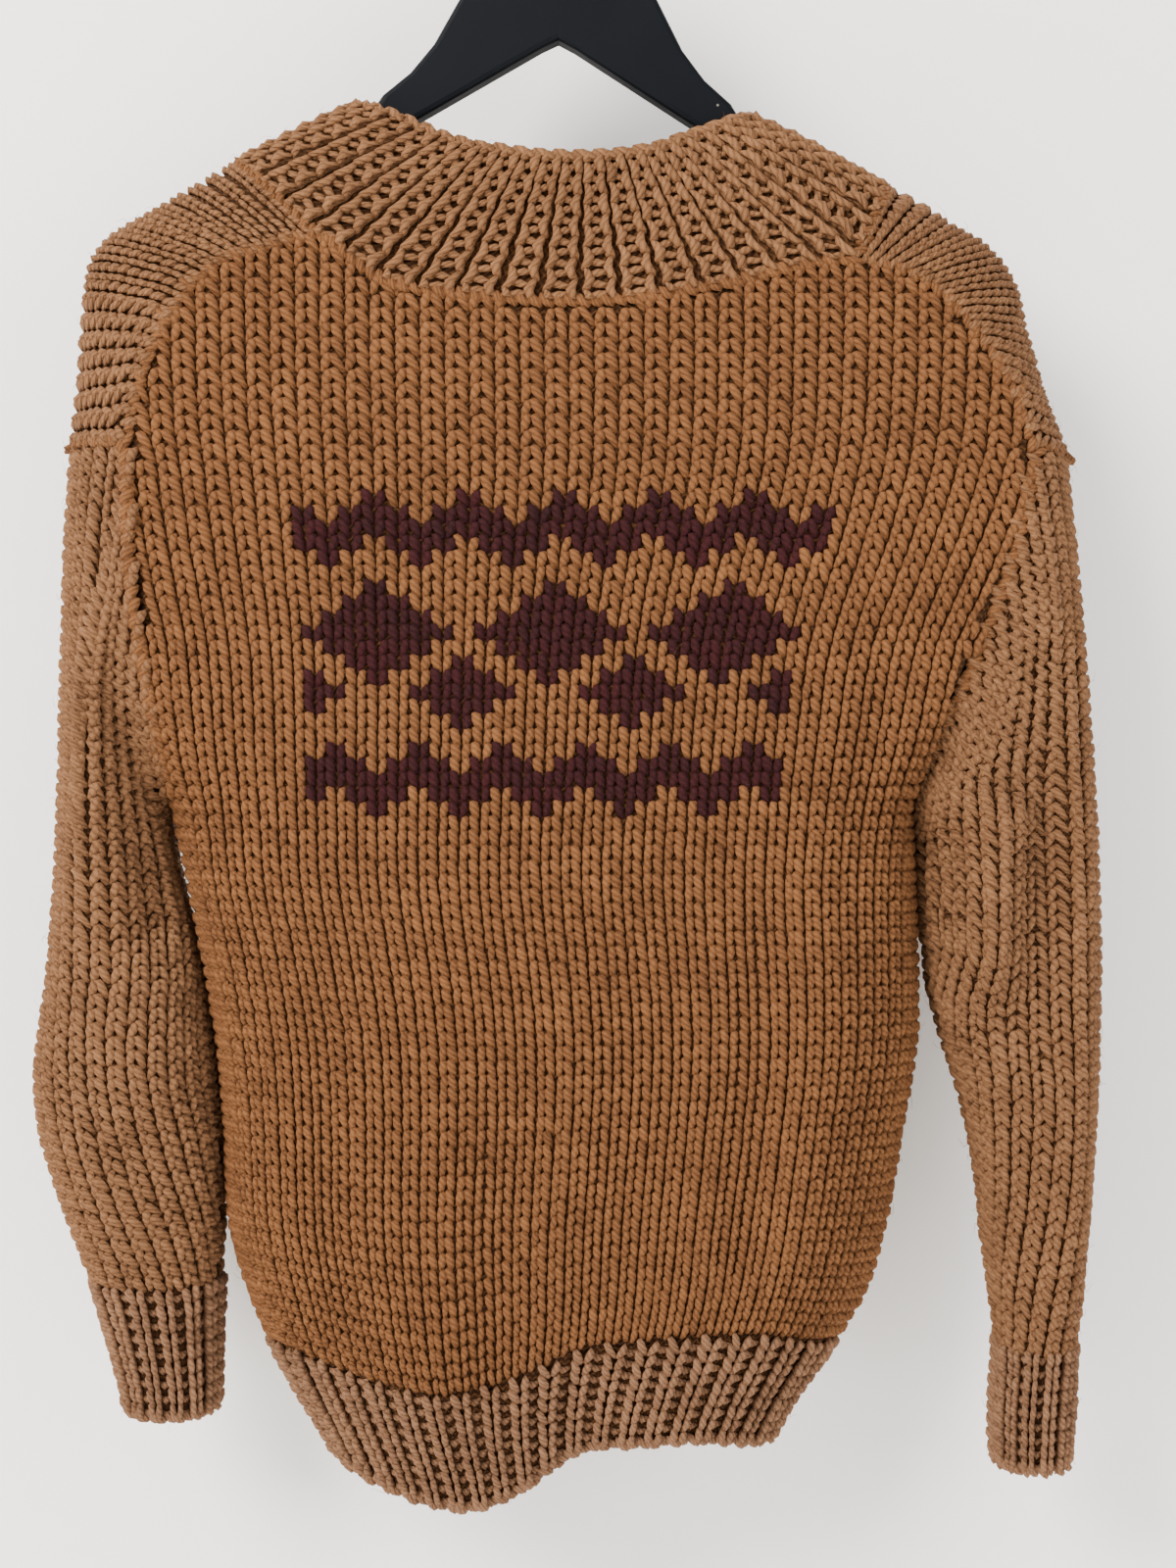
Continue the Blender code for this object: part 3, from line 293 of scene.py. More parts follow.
class Cloth:
    """A fine grid of points on a panel's outer face with its normals, read between its points
    as a mix of the four nearest."""

    def __init__(self, points, outward, closed=False):
        """Normals are the cross product of the ways down and across, times outward."""
        self.points = points
        self.closed = closed
        down = np.gradient(points, axis=0)
        if closed:
            across = (np.roll(points, -1, axis=1) - np.roll(points, 1, axis=1)) / 2
        else:
            across = np.gradient(points, axis=1)
        self.normals = unit(np.cross(down, across)) * outward
        self.across = across

    def read(self, field, row, column):
        """A field at grid places, each the mix of its four nearest points by nearness."""
        rows, columns = field.shape[:2]
        row = np.clip(np.asarray(row, float), 0, rows - 1.001)
        r = row.astype(int)
        fr = (row - r)[..., None]
        if self.closed:
            column = np.mod(np.asarray(column, float), columns)
            c = np.floor(column).astype(int) % columns
            following = (c + 1) % columns
            fc = (column - np.floor(column))[..., None]
        else:
            column = np.clip(np.asarray(column, float), 0, columns - 1.001)
            c = column.astype(int)
            following = c + 1
            fc = (column - c)[..., None]
        near = field[r, c] * (1 - fc) + field[r, following] * fc
        far = field[r + 1, c] * (1 - fc) + field[r + 1, following] * fc
        return near * (1 - fr) + far * fr

    def at(self, row, column):
        """Points of the cloth at grid places."""
        return self.read(self.points, row, column)

    def out(self, row, column):
        """Outward directions at grid places."""
        return unit(self.read(self.normals, row, column))


def eased(rows, shares, part):
    """Rows averaged with their neighbours down the panel by a bell curve, fading out towards
    the seams, so that no ledge crosses the panel at the underarm."""
    reach = np.arange(-EASE_ROWS, EASE_ROWS + 1)
    bell = np.exp(-((reach / EASE_SPREAD) ** 2))
    bell /= bell.sum()
    padded = np.pad(rows, ((EASE_ROWS, EASE_ROWS), (0, 0), (0, 0)), mode="edge")
    mean = sum(weight * padded[k : k + len(rows)] for k, weight in enumerate(bell))
    mean[..., 2] = rows[..., 2]
    left = shares if part != "right" else np.ones(len(shares))
    right = 1 - shares if part != "left" else np.ones(len(shares))
    inside = np.clip((np.minimum(left, right) - EASE_EDGE[0]) / EASE_EDGE[1], 0, 1)
    inside = (inside * inside * (3 - 2 * inside))[None, :, None]
    return rows * (1 - inside) + mean * inside


def body_cloth(side, part, folds, shares):
    """The grid of one side of the body, with where its true edges lie in each row."""
    rows, edges = body_rows(shares, LATTICE_DROPS, side, part)
    rows = eased(rows, shares, part)
    cloth = Cloth(push_folds(rows, folds, side), -side)
    span = edges[:, 1] - edges[:, 0]
    cloth.first_share = np.zeros(len(edges))
    cloth.last_share = np.ones(len(edges))
    if part is None:
        cloth.first_share = -edges[:, 0] / span
        cloth.last_share = (edges[:, 2] - edges[:, 0]) / span
    return cloth


LATTICE_TOP = 200.0
LATTICE_STEP = 3.0
LATTICE_DROPS = np.arange(LATTICE_TOP, 832.0, LATTICE_STEP)
BACK_WALES = 44
BACK_SHARES = np.linspace(0, 1, 4 * BACK_WALES + 1)
back_cloth = body_cloth(-1, None, BACK_FOLDS, BACK_SHARES)


def body_spot(cloth, share, drop):
    """Row and column of the body's grid at a share of the width and a drop."""
    return (drop - LATTICE_TOP) / LATTICE_STEP, share * (cloth.points.shape[1] - 1)


def link_mesh(name, points, faces, material, uv=None, tones=None):
    """A mesh from points in millimetres and one array of faces for each number of corners.
    The coordinates on the surface come corner by corner, in the faces' order."""
    mesh = bpy.data.meshes.new(name)
    mesh.vertices.add(len(points))
    mesh.vertices.foreach_set("co", (np.asarray(points, np.float32) * MM).ravel())
    corners = np.concatenate([group.ravel() for group in faces]).astype(np.int32)
    totals = np.concatenate([np.full(len(group), group.shape[1]) for group in faces])
    starts = np.concatenate([[0], np.cumsum(totals)[:-1]])
    mesh.loops.add(len(corners))
    mesh.loops.foreach_set("vertex_index", corners)
    mesh.polygons.add(len(totals))
    mesh.polygons.foreach_set("loop_start", starts.astype(np.int32))
    mesh.polygons.foreach_set("use_smooth", np.ones(len(totals), bool))
    if uv is not None:
        layer = mesh.uv_layers.new(name="yarn")
        layer.data.foreach_set("uv", np.asarray(uv, np.float32).ravel())
    if tones is not None:
        shade = mesh.attributes.new("tone", "FLOAT", "POINT")
        shade.data.foreach_set("value", np.asarray(tones, np.float32))
    mesh.update(calc_edges=True)
    mesh.validate()
    mesh.materials.append(material)
    made = bpy.data.objects.new(name, mesh)
    bpy.context.scene.collection.objects.link(made)
    return made


def leaf_faces(count, sides, rings):
    """Faces of many closed leaves, each a first tip, rings of points and a last tip."""
    size = sides * rings + 2
    here = np.arange(sides)
    beside = (here + 1) % sides
    quads = []
    for ring in range(rings - 1):
        a, b = 1 + ring * sides, 1 + (ring + 1) * sides
        quads.append(np.stack([a + here, b + here, b + beside, a + beside], axis=1))
    quads = np.concatenate(quads)
    last = 1 + (rings - 1) * sides
    first_fan = np.stack([np.zeros(sides, int), 1 + here, 1 + beside], axis=1)
    last_fan = np.stack([np.full(sides, size - 1), last + beside, last + here], axis=1)
    fans = np.concatenate([first_fan, last_fan])
    shift = (np.arange(count) * size)[:, None, None]
    return (quads[None] + shift).reshape(-1, 4), (fans[None] + shift).reshape(-1, 3)


def leaf_uv(count, sides, places):
    """Along the leaf from 0 to 1, and round it from 0 to 1, for the corners of leaf_faces."""
    rings = len(places)
    step = np.arange(sides) / sides
    more = step + 1 / sides
    corners = []
    for ring in range(rings - 1):
        a, b = np.full(sides, places[ring]), np.full(sides, places[ring + 1])
        quad = [np.stack([a, step], 1), np.stack([b, step], 1)]
        quad += [np.stack([b, more], 1), np.stack([a, more], 1)]
        corners.append(np.stack(quad, axis=1).reshape(-1, 2))
    quads = np.concatenate(corners)
    first, last = np.full(sides, places[0]), np.full(sides, places[-1])
    zero, one = np.zeros(sides), np.ones(sides)
    middle = step + 0.5 / sides
    fan = [np.stack([zero, middle], 1), np.stack([first, step], 1), np.stack([first, more], 1)]
    fans = np.stack(fan, axis=1).reshape(-1, 2)
    fan = [np.stack([one, middle], 1), np.stack([last, more], 1), np.stack([last, step], 1)]
    fans = np.concatenate([fans, np.stack(fan, axis=1).reshape(-1, 2)])
    return np.concatenate([np.tile(quads, (count, 1)), np.tile(fans, (count, 1))])


LEAF_PLACES = np.array((0.0, 0.15, 0.46, 0.82, 1.0))
LEAF_GIRTH = np.array((0.0, 0.85, 1.0, 0.64, 0.0))
LEAF_SIDES = 5


def leaves(spine, side_way, normal, half_width, half_depth, sides=LEAF_SIDES):
    """Closed leaves of yarn round short spines of five points: an oval of sides that swells
    to its full size in the middle. Spines are (leaf, place, xyz)."""
    angle = (np.arange(sides) / sides) * 2 * math.pi + math.pi / 2
    girth = LEAF_GIRTH[None, 1:-1, None, None]
    wide = np.asarray(half_width, float).reshape(-1, 1, 1, 1) * girth
    deep = np.asarray(half_depth, float).reshape(-1, 1, 1, 1) * girth
    ring = spine[:, 1:-1, None, :]
    ring = ring + side_way[:, None, None, :] * wide * np.cos(angle)[None, None, :, None]
    ring = ring + normal[:, None, None, :] * deep * np.sin(angle)[None, None, :, None]
    body = ring.reshape(len(spine), -1, 3)
    return np.concatenate([spine[:, :1], body, spine[:, -1:]], axis=1)


def leaf_object(name, groups, material, tones):
    """One joined mesh from groups of leaves."""
    points = np.concatenate(groups)
    count, size = points.shape[:2]
    quads, fans = leaf_faces(count, LEAF_SIDES, 3)
    uv = leaf_uv(count, LEAF_SIDES, LEAF_PLACES[1:-1])
    shade = np.repeat(np.concatenate(tones), size)
    return link_mesh(name, points.reshape(-1, 3), [quads, fans], material, uv, shade)


YARN_DEPTH = 2.5
MOST_PLUMP = 2.65
LEG_SINK = np.array((1.8, 0.1, 0.1, 1.2, 3.0))
# Each leg of a stitch: side, how far its top leans out, plumpness, as shares of the width
LEGS = (
    (-1, 0.105, 0.250),
    (1, 0.055, 0.215),
)


def stitch_legs(centre, across, down, normal, width, height, crest=0.0):
    """The two legs of each plain stitch: each leg runs from the outside at the top to near
    the middle at the bottom, 1.8 rows long, and dives under the next. Returns leaves and tones."""
    count = len(centre)
    width = np.broadcast_to(width, count)
    height = np.broadcast_to(height, count)
    made = []
    tones = []
    stitch_tone = rng.normal(0, 0.5, count)
    for side, lean, plumpness in LEGS:
        t = LEAF_PLACES[None, :]
        sway = rng.normal(0, 0.014, (count, 1))
        open_up = np.clip(4 * (width / height - 1.2), 0.8, 2.0)[:, None]
        lean = lean * open_up * (1 + rng.normal(0, 0.18, (count, 1)))
        out = side * (0.25 + lean * np.cos(math.pi * t)) + sway
        fall = -0.75 + 1.56 * t + rng.normal(0, 0.05, (count, 1))
        sink = crest - YARN_DEPTH - LEG_SINK + rng.normal(0, 0.16, (count, 1))
        spine = centre[:, None, :] + across[:, None, :] * (out * width[:, None])[..., None]
        spine = spine + down[:, None, :] * (fall * height[:, None])[..., None]
        spine = spine + normal[:, None, :] * sink[..., None]
        plump = np.minimum(plumpness * width, MOST_PLUMP) * (1 + rng.normal(0, 0.05, count))
        depth = np.full(count, YARN_DEPTH) * (1 + rng.normal(0, 0.04, count))
        made.append(leaves(spine, across, normal, plump, depth))
        tones.append(stitch_tone + rng.normal(0, 0.25, count))
    return np.concatenate(made), np.concatenate(tones)


COURSE = 6.6
HEM_PULL = (640.0, 750.0)
LAST_COURSE = 800.0
EDGE_STITCH = 0.35
EDGE_GAPS = (1.5, 1.0)
# Stitch sizes down a body panel: drop, row height, share of the stitches that fit across
GAUGE = (
    (220.0, 7.15, 0.83),
    (330.0, 7.1, 0.85),
    (470.0, 6.75, 0.94),
    (560.0, 6.6, 0.99),
    (640.0, 6.4, 1.0),
    (820.0, 6.0, 1.0),
)


def body_courses(cloth, wales, top, rib, first_drop=224.0, anchor=0.5):
    """Where the stitches of a body panel sit: columns that fan out from the hem to the
    shoulders about an anchor, rows of the gauge's height that bend to follow the rib line
    near the hem. Returns shares, drops, row heights, row numbers and column numbers."""
    fine = np.arange(first_drop, LAST_COURSE, 1.0)
    rows_above = np.cumsum(1 / curve_through(GAUGE, 1, fine))
    level = np.interp(np.arange(int(rows_above[-1])) + 0.5, rows_above, fine)
    share = (np.arange(wales) + 0.5) / wales
    pull = np.clip((level - HEM_PULL[0]) / (HEM_PULL[1] - HEM_PULL[0]), 0, 1) ** 1.5
    rib_line = rib(share)
    drop = level[:, None] + pull[:, None] * (rib_line - rib_line.mean())[None, :]
    share = anchor + (share - anchor) / curve_through(GAUGE, 2, level)[:, None]
    first = np.interp(drop, LATTICE_DROPS, cloth.first_share) + EDGE_STITCH / wales
    last = np.interp(drop, LATTICE_DROPS, cloth.last_share) - EDGE_STITCH / wales
    inside = np.clip(share, 0, 1)
    keep = (drop > top(inside) + EDGE_GAPS[0]) & (drop < rib_line[None, :] - EDGE_GAPS[1])
    keep &= (share > first) & (share < last)
    course, wale = np.nonzero(keep)
    height = np.broadcast_to(curve_through(GAUGE, 1, level)[:, None], drop.shape)
    return share[keep], drop[keep], height[keep], course, wale


def frame_on(cloth, row, column, row_step=0.6):
    """Centre, sideways, downward and outward directions on a cloth at grid places."""
    centre = cloth.at(row, column)
    normal = cloth.out(row, column)
    down = flattened(cloth.at(row + row_step, column) - cloth.at(row - row_step, column), normal)
    across = unit(np.cross(normal, down))
    return centre, across, down, normal


def wale_width(cloth, row, column, columns_per_wale):
    """Width of a wale where it lies, from the grid's own spacing."""
    return np.linalg.norm(cloth.read(cloth.across, row, column), axis=-1) * columns_per_wale


def put(tree, kind, inputs=None, **settings):
    """A shader node with its settings, its input values, and links from other sockets."""
    made = tree.nodes.new(kind)
    for key, value in settings.items():
        setattr(made, key, value)
    for key, value in (inputs or {}).items():
        if isinstance(value, bpy.types.NodeSocket):
            tree.links.new(value, made.inputs[key])
        else:
            made.inputs[key].default_value = value
    return made


def sums(tree, operation, first, second=0.0):
    """One step of arithmetic on one or two values."""
    return put(tree, "ShaderNodeMath", {0: first, 1: second}, operation=operation).outputs[0]


def weighted(tree, terms, start=0.0):
    """A starting value plus each term's value times its weight."""
    total = start
    for value, weight in terms:
        step = put(tree, "ShaderNodeMath", {0: value, 1: weight, 2: total}, operation="MULTIPLY_ADD")
        total = step.outputs[0]
    return total


def noise_in(tree, space, scale, detail):
    """Soft noise of a scale, from 0 to 1."""
    inputs = {"Vector": space, "Scale": scale, "Detail": detail}
    return put(tree, "ShaderNodeTexNoise", inputs).outputs[0]


def mixed(tree, factor, first, second, **settings):
    """The colour that lies between two others by a factor."""
    inputs = {"Factor": factor, 6: first, 7: second}
    return put(tree, "ShaderNodeMix", inputs, data_type="RGBA", **settings).outputs[2]


def new_material(name):
    """A material with its node tree and its main shader."""
    made = bpy.data.materials.new(name)
    made.use_nodes = True
    return made, made.node_tree, made.node_tree.nodes["Principled BSDF"]


def new_group(name, inputs, outputs):
    """An empty shader node group with named inputs and outputs."""
    group = bpy.data.node_groups.new(name, "ShaderNodeTree")
    for label, kind, value in inputs:
        socket = group.interface.new_socket(label, in_out="INPUT", socket_type=kind)
        socket.default_value = value
    for label, kind in outputs:
        group.interface.new_socket(label, in_out="OUTPUT", socket_type=kind)
    return group, group.nodes.new("NodeGroupInput"), group.nodes.new("NodeGroupOutput")


# Spun wool: plies that wind round the yarn, fine fibres along them, and a tone for each stitch
spun_wool, wool_in, wool_out = new_group(
    "spun wool",
    [
        ("Light yarn", "NodeSocketColor", (1, 1, 1, 1)),
        ("Deep yarn", "NodeSocketColor", (0, 0, 0, 1)),
        ("Plies", "NodeSocketFloat", 3.0),
        ("Turns", "NodeSocketFloat", 2.0),
    ],
    [("Colour", "NodeSocketColor"), ("Height", "NodeSocketFloat")],
)
yarn_place = put(spun_wool, "ShaderNodeUVMap", uv_map="yarn")
yarn_axes = put(spun_wool, "ShaderNodeSeparateXYZ", {0: yarn_place.outputs[0]})
wool_space = put(spun_wool, "ShaderNodeTexCoord").outputs["Object"]
stitch_tone = put(spun_wool, "ShaderNodeAttribute", attribute_name="tone").outputs["Fac"]
wander = noise_in(spun_wool, wool_space, 260.0, 2.0)
along_yarn, round_yarn = yarn_axes.outputs[0], yarn_axes.outputs[1]
plies, turns = wool_in.outputs["Plies"], wool_in.outputs["Turns"]
ply_turn = weighted(spun_wool, ((round_yarn, plies), (along_yarn, turns), (wander, 0.5)))
ply_angle = sums(spun_wool, "MULTIPLY", ply_turn, 2 * math.pi)
ply_wave = weighted(spun_wool, ((sums(spun_wool, "SINE", ply_angle), 0.5),), 0.5)
ply_crest = sums(spun_wool, "POWER", ply_wave, 0.45)
strand_turn = weighted(spun_wool, ((round_yarn, 9.0), (along_yarn, 8.0), (wander, 1.6)))
strand_wave = sums(spun_wool, "SINE", sums(spun_wool, "MULTIPLY", strand_turn, 2 * math.pi))
fibre = noise_in(spun_wool, wool_space, 1500.0, 3.0)
heather = noise_in(spun_wool, wool_space, 34.0, 3.0)
# Colour: random fibre, heather and stitch tones, and painted shade: darker in the grooves between the
# plies and strands than on their crests.
tone_and_shade_terms = ((ply_crest, 0.50), (strand_wave, 0.07), (fibre, 0.62), (heather, 0.5), (stitch_tone, 0.13))
wool_tone_and_shade = weighted(spun_wool, tone_and_shade_terms, -0.42)
wool_ends = (wool_in.outputs["Deep yarn"], wool_in.outputs["Light yarn"])
wool_colour = mixed(spun_wool, wool_tone_and_shade, *wool_ends, clamp_factor=True)
wool_height = weighted(spun_wool, ((fibre, 0.8), (strand_wave, 0.16)), ply_crest)
spun_wool.links.new(wool_colour, wool_out.inputs["Colour"])
spun_wool.links.new(wool_height, wool_out.inputs["Height"])


def wool(name, light, deep, turns=3.4, sheen=0.3, bump=0.00045, plies=3.0):
    """Woollen yarn: the spun wool group on a rough, slightly furry surface."""
    made, tree, shader = new_material(name)
    inputs = {"Light yarn": (*light, 1), "Deep yarn": (*deep, 1), "Plies": plies, "Turns": turns}
    spun = put(tree, "ShaderNodeGroup", node_tree=spun_wool)
    for key, value in inputs.items():
        spun.inputs[key].default_value = value
    relief = put(tree, "ShaderNodeBump", {"Height": spun.outputs["Height"], "Distance": bump})
    relief.inputs["Strength"].default_value = 0.9
    tree.links.new(spun.outputs["Colour"], shader.inputs["Base Color"])
    tree.links.new(relief.outputs[0], shader.inputs["Normal"])
    shader.inputs["Roughness"].default_value = 0.86
    shader.inputs["Specular IOR Level"].default_value = 0.18
    shader.inputs["Sheen Weight"].default_value = sheen
    shader.inputs["Sheen Roughness"].default_value = 0.45
    shader.inputs["Sheen Tint"].default_value = (*(min(1, 1.6 * part) for part in light), 1)
    return made


CAMEL_LIGHT = (0.206, 0.0845, 0.0290)
CAMEL_DEEP = (0.060, 0.0213, 0.0064)
BURGUNDY_LIGHT = (0.034, 0.0036, 0.0046)
BURGUNDY_DEEP = (0.0088, 0.0010, 0.0014)
camel_wool = wool("camel wool", CAMEL_LIGHT, CAMEL_DEEP)
burgundy_wool = wool("burgundy wool", BURGUNDY_LIGHT, BURGUNDY_DEEP)

# The web: the yarn between and behind the plain stitches, seen as dark gaps from outside and as
# rows of small bumps from inside. Its colour is painted shade: far darker than the same yarn in
# the stitches, and darker in the hollows between the bumps than on their crests.
knit_web, web_in, web_out = new_group(
    "purl bumps",
    [("Light yarn", "NodeSocketColor", (1, 1, 1, 1)), ("Deep yarn", "NodeSocketColor", (0, 0, 0, 1))],
    [("Colour", "NodeSocketColor"), ("Height", "NodeSocketFloat")],
)
web_place = put(knit_web, "ShaderNodeUVMap", uv_map="yarn")
web_axes = put(knit_web, "ShaderNodeSeparateXYZ", {0: web_place.outputs[0]})
wale_wave = sums(knit_web, "COSINE", sums(knit_web, "MULTIPLY", web_axes.outputs[0], 4 * math.pi))
course_place = weighted(knit_web, ((wale_wave, 0.12),), web_axes.outputs[1])
course_wave = sums(knit_web, "COSINE", sums(knit_web, "MULTIPLY", course_place, 4 * math.pi))
web_height = weighted(knit_web, ((course_wave, 0.5),), 0.5)
web_crest = sums(knit_web, "POWER", web_height, 0.6)
web_space = put(knit_web, "ShaderNodeTexCoord").outputs["Object"]
web_fibre = noise_in(knit_web, web_space, 1200.0, 3.0)
web_fibre_and_shade = weighted(knit_web, ((web_crest, 0.7), (web_fibre, 0.5)), -0.15)
web_ends = (web_in.outputs["Deep yarn"], web_in.outputs["Light yarn"])
web_colour = mixed(knit_web, web_fibre_and_shade, *web_ends, clamp_factor=True)
knit_web.links.new(web_colour, web_out.inputs["Colour"])
knit_web.links.new(web_height, web_out.inputs["Height"])

# Colours of the web's yarn, painted far darker than the stitches' yarn as painted shade in the gaps.
SHADED_WEB_LIGHT = (0.090, 0.038, 0.014)
SHADED_WEB_DEEP = (0.017, 0.0065, 0.0027)
camel_web, web_tree, web_shader = new_material("camel web")
web_group = put(web_tree, "ShaderNodeGroup", node_tree=knit_web)
web_group.inputs["Light yarn"].default_value = (*SHADED_WEB_LIGHT, 1)
web_group.inputs["Deep yarn"].default_value = (*SHADED_WEB_DEEP, 1)
web_relief = put(web_tree, "ShaderNodeBump", {"Height": web_group.outputs["Height"]})
web_relief.inputs["Distance"].default_value = 0.0012
web_tree.links.new(web_group.outputs["Colour"], web_shader.inputs["Base Color"])
web_tree.links.new(web_relief.outputs[0], web_shader.inputs["Normal"])
web_shader.inputs["Roughness"].default_value = 0.92
web_shader.inputs["Specular IOR Level"].default_value = 0.1

WEB_OUT = 3.9
WEB_IN = 5.1


def web_shell(name, cloth, rows, columns, uv, closed=False):
    """A thin shell under the stitches: grid places of the cloth moved in along the normals to
    two depths, with its edges closed. Rows and columns are grid places, uv the stitch places."""
    outer = cloth.at(rows, columns)
    normal = cloth.out(rows, columns)
    points = np.concatenate([outer - normal * WEB_OUT, outer - normal * WEB_IN])
    height, width = rows.shape
    layer = height * width
    wrap = width if closed else width - 1
    r, c = np.meshgrid(np.arange(height - 1), np.arange(wrap), indexing="ij")
    r, c = r.ravel(), c.ravel()
    corners = [(r, c), (r, c + 1), (r + 1, c + 1), (r + 1, c)]
    front = np.stack([a * width + b % width for a, b in corners], axis=1)
    front_uv = np.stack([uv[a, np.minimum(b, uv.shape[1] - 1)] for a, b in corners], axis=1)
    faces = [front, front[:, ::-1] + layer]
    places = [front_uv, front_uv[:, ::-1]]
    rims = [(np.zeros(wrap, int), np.arange(wrap), 0, 1)]
    rims += [(np.full(wrap, height - 1), np.arange(wrap), 0, 1)]
    if not closed:
        rims += [(np.arange(height - 1), np.zeros(height - 1, int), 1, 0)]
        rims += [(np.arange(height - 1), np.full(height - 1, width - 1), 1, 0)]
    for number, (a, b, da, db) in enumerate(rims):
        one = a * width + b
        two = (a + da) * width + (b + db) % width
        rim = np.stack([one, one + layer, two + layer, two], axis=1)
        faces.append(rim if number in (0, 3) else rim[:, ::-1])
        places.append(np.broadcast_to(uv[a, b][:, None, :], (len(a), 4, 2)))
    corner_uv = np.concatenate(places).reshape(-1, 2)
    made = link_mesh(name, points.reshape(-1, 3), [np.concatenate(faces)], camel_web, corner_uv)
    face_out(made)
    return made


def face_out(made):
    """Turns a closed mesh round if its volume, summed from its triangles, is negative."""
    mesh = made.data
    mesh.calc_loop_triangles()
    corners = np.empty(len(mesh.loop_triangles) * 3, np.int32)
    mesh.loop_triangles.foreach_get("vertices", corners)
    points = np.empty(len(mesh.vertices) * 3, np.float32)
    mesh.vertices.foreach_get("co", points)
    triangle = points.reshape(-1, 3)[corners.reshape(-1, 3)].astype(float)
    if np.einsum("ij,ij->i", triangle[:, 0], np.cross(triangle[:, 1], triangle[:, 2])).sum() < 0:
        mesh.flip_normals()


WEB_ROWS = 84
WEB_FINE = 1.7


def body_web(name, cloth, wales, top, rib):
    """The web of a body panel, between its top edge and its rib line."""
    share = np.linspace(0, 1, int(wales * WEB_FINE) + 1)
    steps = np.linspace(0, 1, WEB_ROWS)[:, None]
    drop = top(share)[None, :] * (1 - steps) + rib(share)[None, :] * steps
    first = np.interp(drop, LATTICE_DROPS, cloth.first_share)
    last = np.interp(drop, LATTICE_DROPS, cloth.last_share)
    place = first + (last - first) * share[None, :]
    row, column = body_spot(cloth, place, drop)
    uv = np.stack([place * wales, -drop / COURSE], axis=-1)
    return web_shell(name, cloth, row, column, uv)


def back_top(share):
    """Drop of the back's top edge at a share of its width."""
    return curve_through(BACK_TOP, 1, share)


def back_rib(share):
    """Drop of the back's rib line at a share of its width."""
    return curve_through(BACK_HEM, 1, share)


def back_hem(share):
    """Drop of the back's hem edge at a share of its width."""
    return curve_through(BACK_HEM, 2, share)


back_web = body_web("back_web", back_cloth, BACK_WALES, back_top, back_rib)

# The pattern that is knitted in: stepped diamonds between two zigzags, eight stitches to a
# repeat, three repeats less one stitch wide. An X is a burgundy stitch.
PATTERN = (
    "X...X...",
    "XX.XXX.X",
    "XXXXXXXX",
    ".XXX.XXX",
    "..X...X.",
    "........",
    "....X...",
    "...XXX..",
    "..XXXXX.",
    ".XXXXXXX",
    "..XXXXX.",
    "X..XXX..",
    "XX..X..X",
    "XXX...XX",
    "XX.....X",
    "X.......",
    "........",
    "..X...X.",
    ".XXX.XXX",
    "XXXXXXXX",
    "XX.XXX.X",
    "X...X...",
)
REPEAT = 8
PATTERN_WIDE = 3 * REPEAT - 1
PATTERN_WALE = 10
PATTERN_COURSE = 18

share, drop, height, course, wale = body_courses(back_cloth, BACK_WALES, back_top, back_rib)
row, column = body_spot(back_cloth, share, drop)
centre, across, down, normal = frame_on(back_cloth, row, column)
width = wale_width(back_cloth, row, column, 4) / curve_through(GAUGE, 2, drop)
legs, tones = stitch_legs(centre, across, down, normal, width, height)
chart = np.array([[mark == "X" for mark in line] for line in PATTERN])
chart_row, chart_column = course - PATTERN_COURSE, wale - PATTERN_WALE
in_chart = (chart_row >= 0) & (chart_row < len(PATTERN))
in_chart &= (chart_column >= 0) & (chart_column < PATTERN_WIDE)
red = in_chart & chart[np.clip(chart_row, 0, len(PATTERN) - 1), (chart_column + 1) % REPEAT]
red_legs = np.concatenate([red, red])
back_stitches = leaf_object("back_stitches", [legs[~red_legs]], camel_wool, [tones[~red_legs]])
pattern_stitches = leaf_object(
    "back_pattern_stitches", [legs[red_legs]], burgundy_wool, [tones[red_legs]]
)
for piece in (back_web, back_stitches, pattern_stitches):
    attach(piece, "cardigan")
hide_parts("back")

# The fronts are two more panels in the same stitch, 21 stitches wide each, that meet at the
# zip. Their top edges slope from the shoulders down to the collar's points.
FRONT_WALES = 21
# Top edges of the fronts from the sleeve to the zip: share, drop
LEFT_FRONT_TOP = (
    (0.0, 329.0),
    (0.03, 303.0),
    (0.07, 281.0),
    (0.15, 255.0),
    (0.23, 242.0),
    (0.33, 236.0),
    (0.44, 231.0),
    (0.58, 264.0),
    (0.72, 304.0),
    (0.86, 348.0),
    (1.0, 392.0),
)
RIGHT_FRONT_TOP = (
    (0.0, 331.0),
    (0.05, 300.0),
    (0.10, 280.0),
    (0.18, 260.0),
    (0.26, 248.0),
    (0.40, 242.5),
    (0.55, 270.0),
    (0.70, 308.0),
    (0.85, 350.0),
    (1.0, 392.0),
)
LEFT_FRONT_NECK = 0.44
RIGHT_FRONT_NECK = 0.40
# Rib line and hem edge of each front from left to right: share, top of rib, hem edge
LEFT_FRONT_HEM = ((0.0, 755.0, 803.0), (0.5, 753.0, 801.0), (1.0, 752.0, 800.0))
RIGHT_FRONT_HEM = ((0.0, 752.0, 800.0), (0.5, 754.0, 800.0), (1.0, 757.0, 801.0))
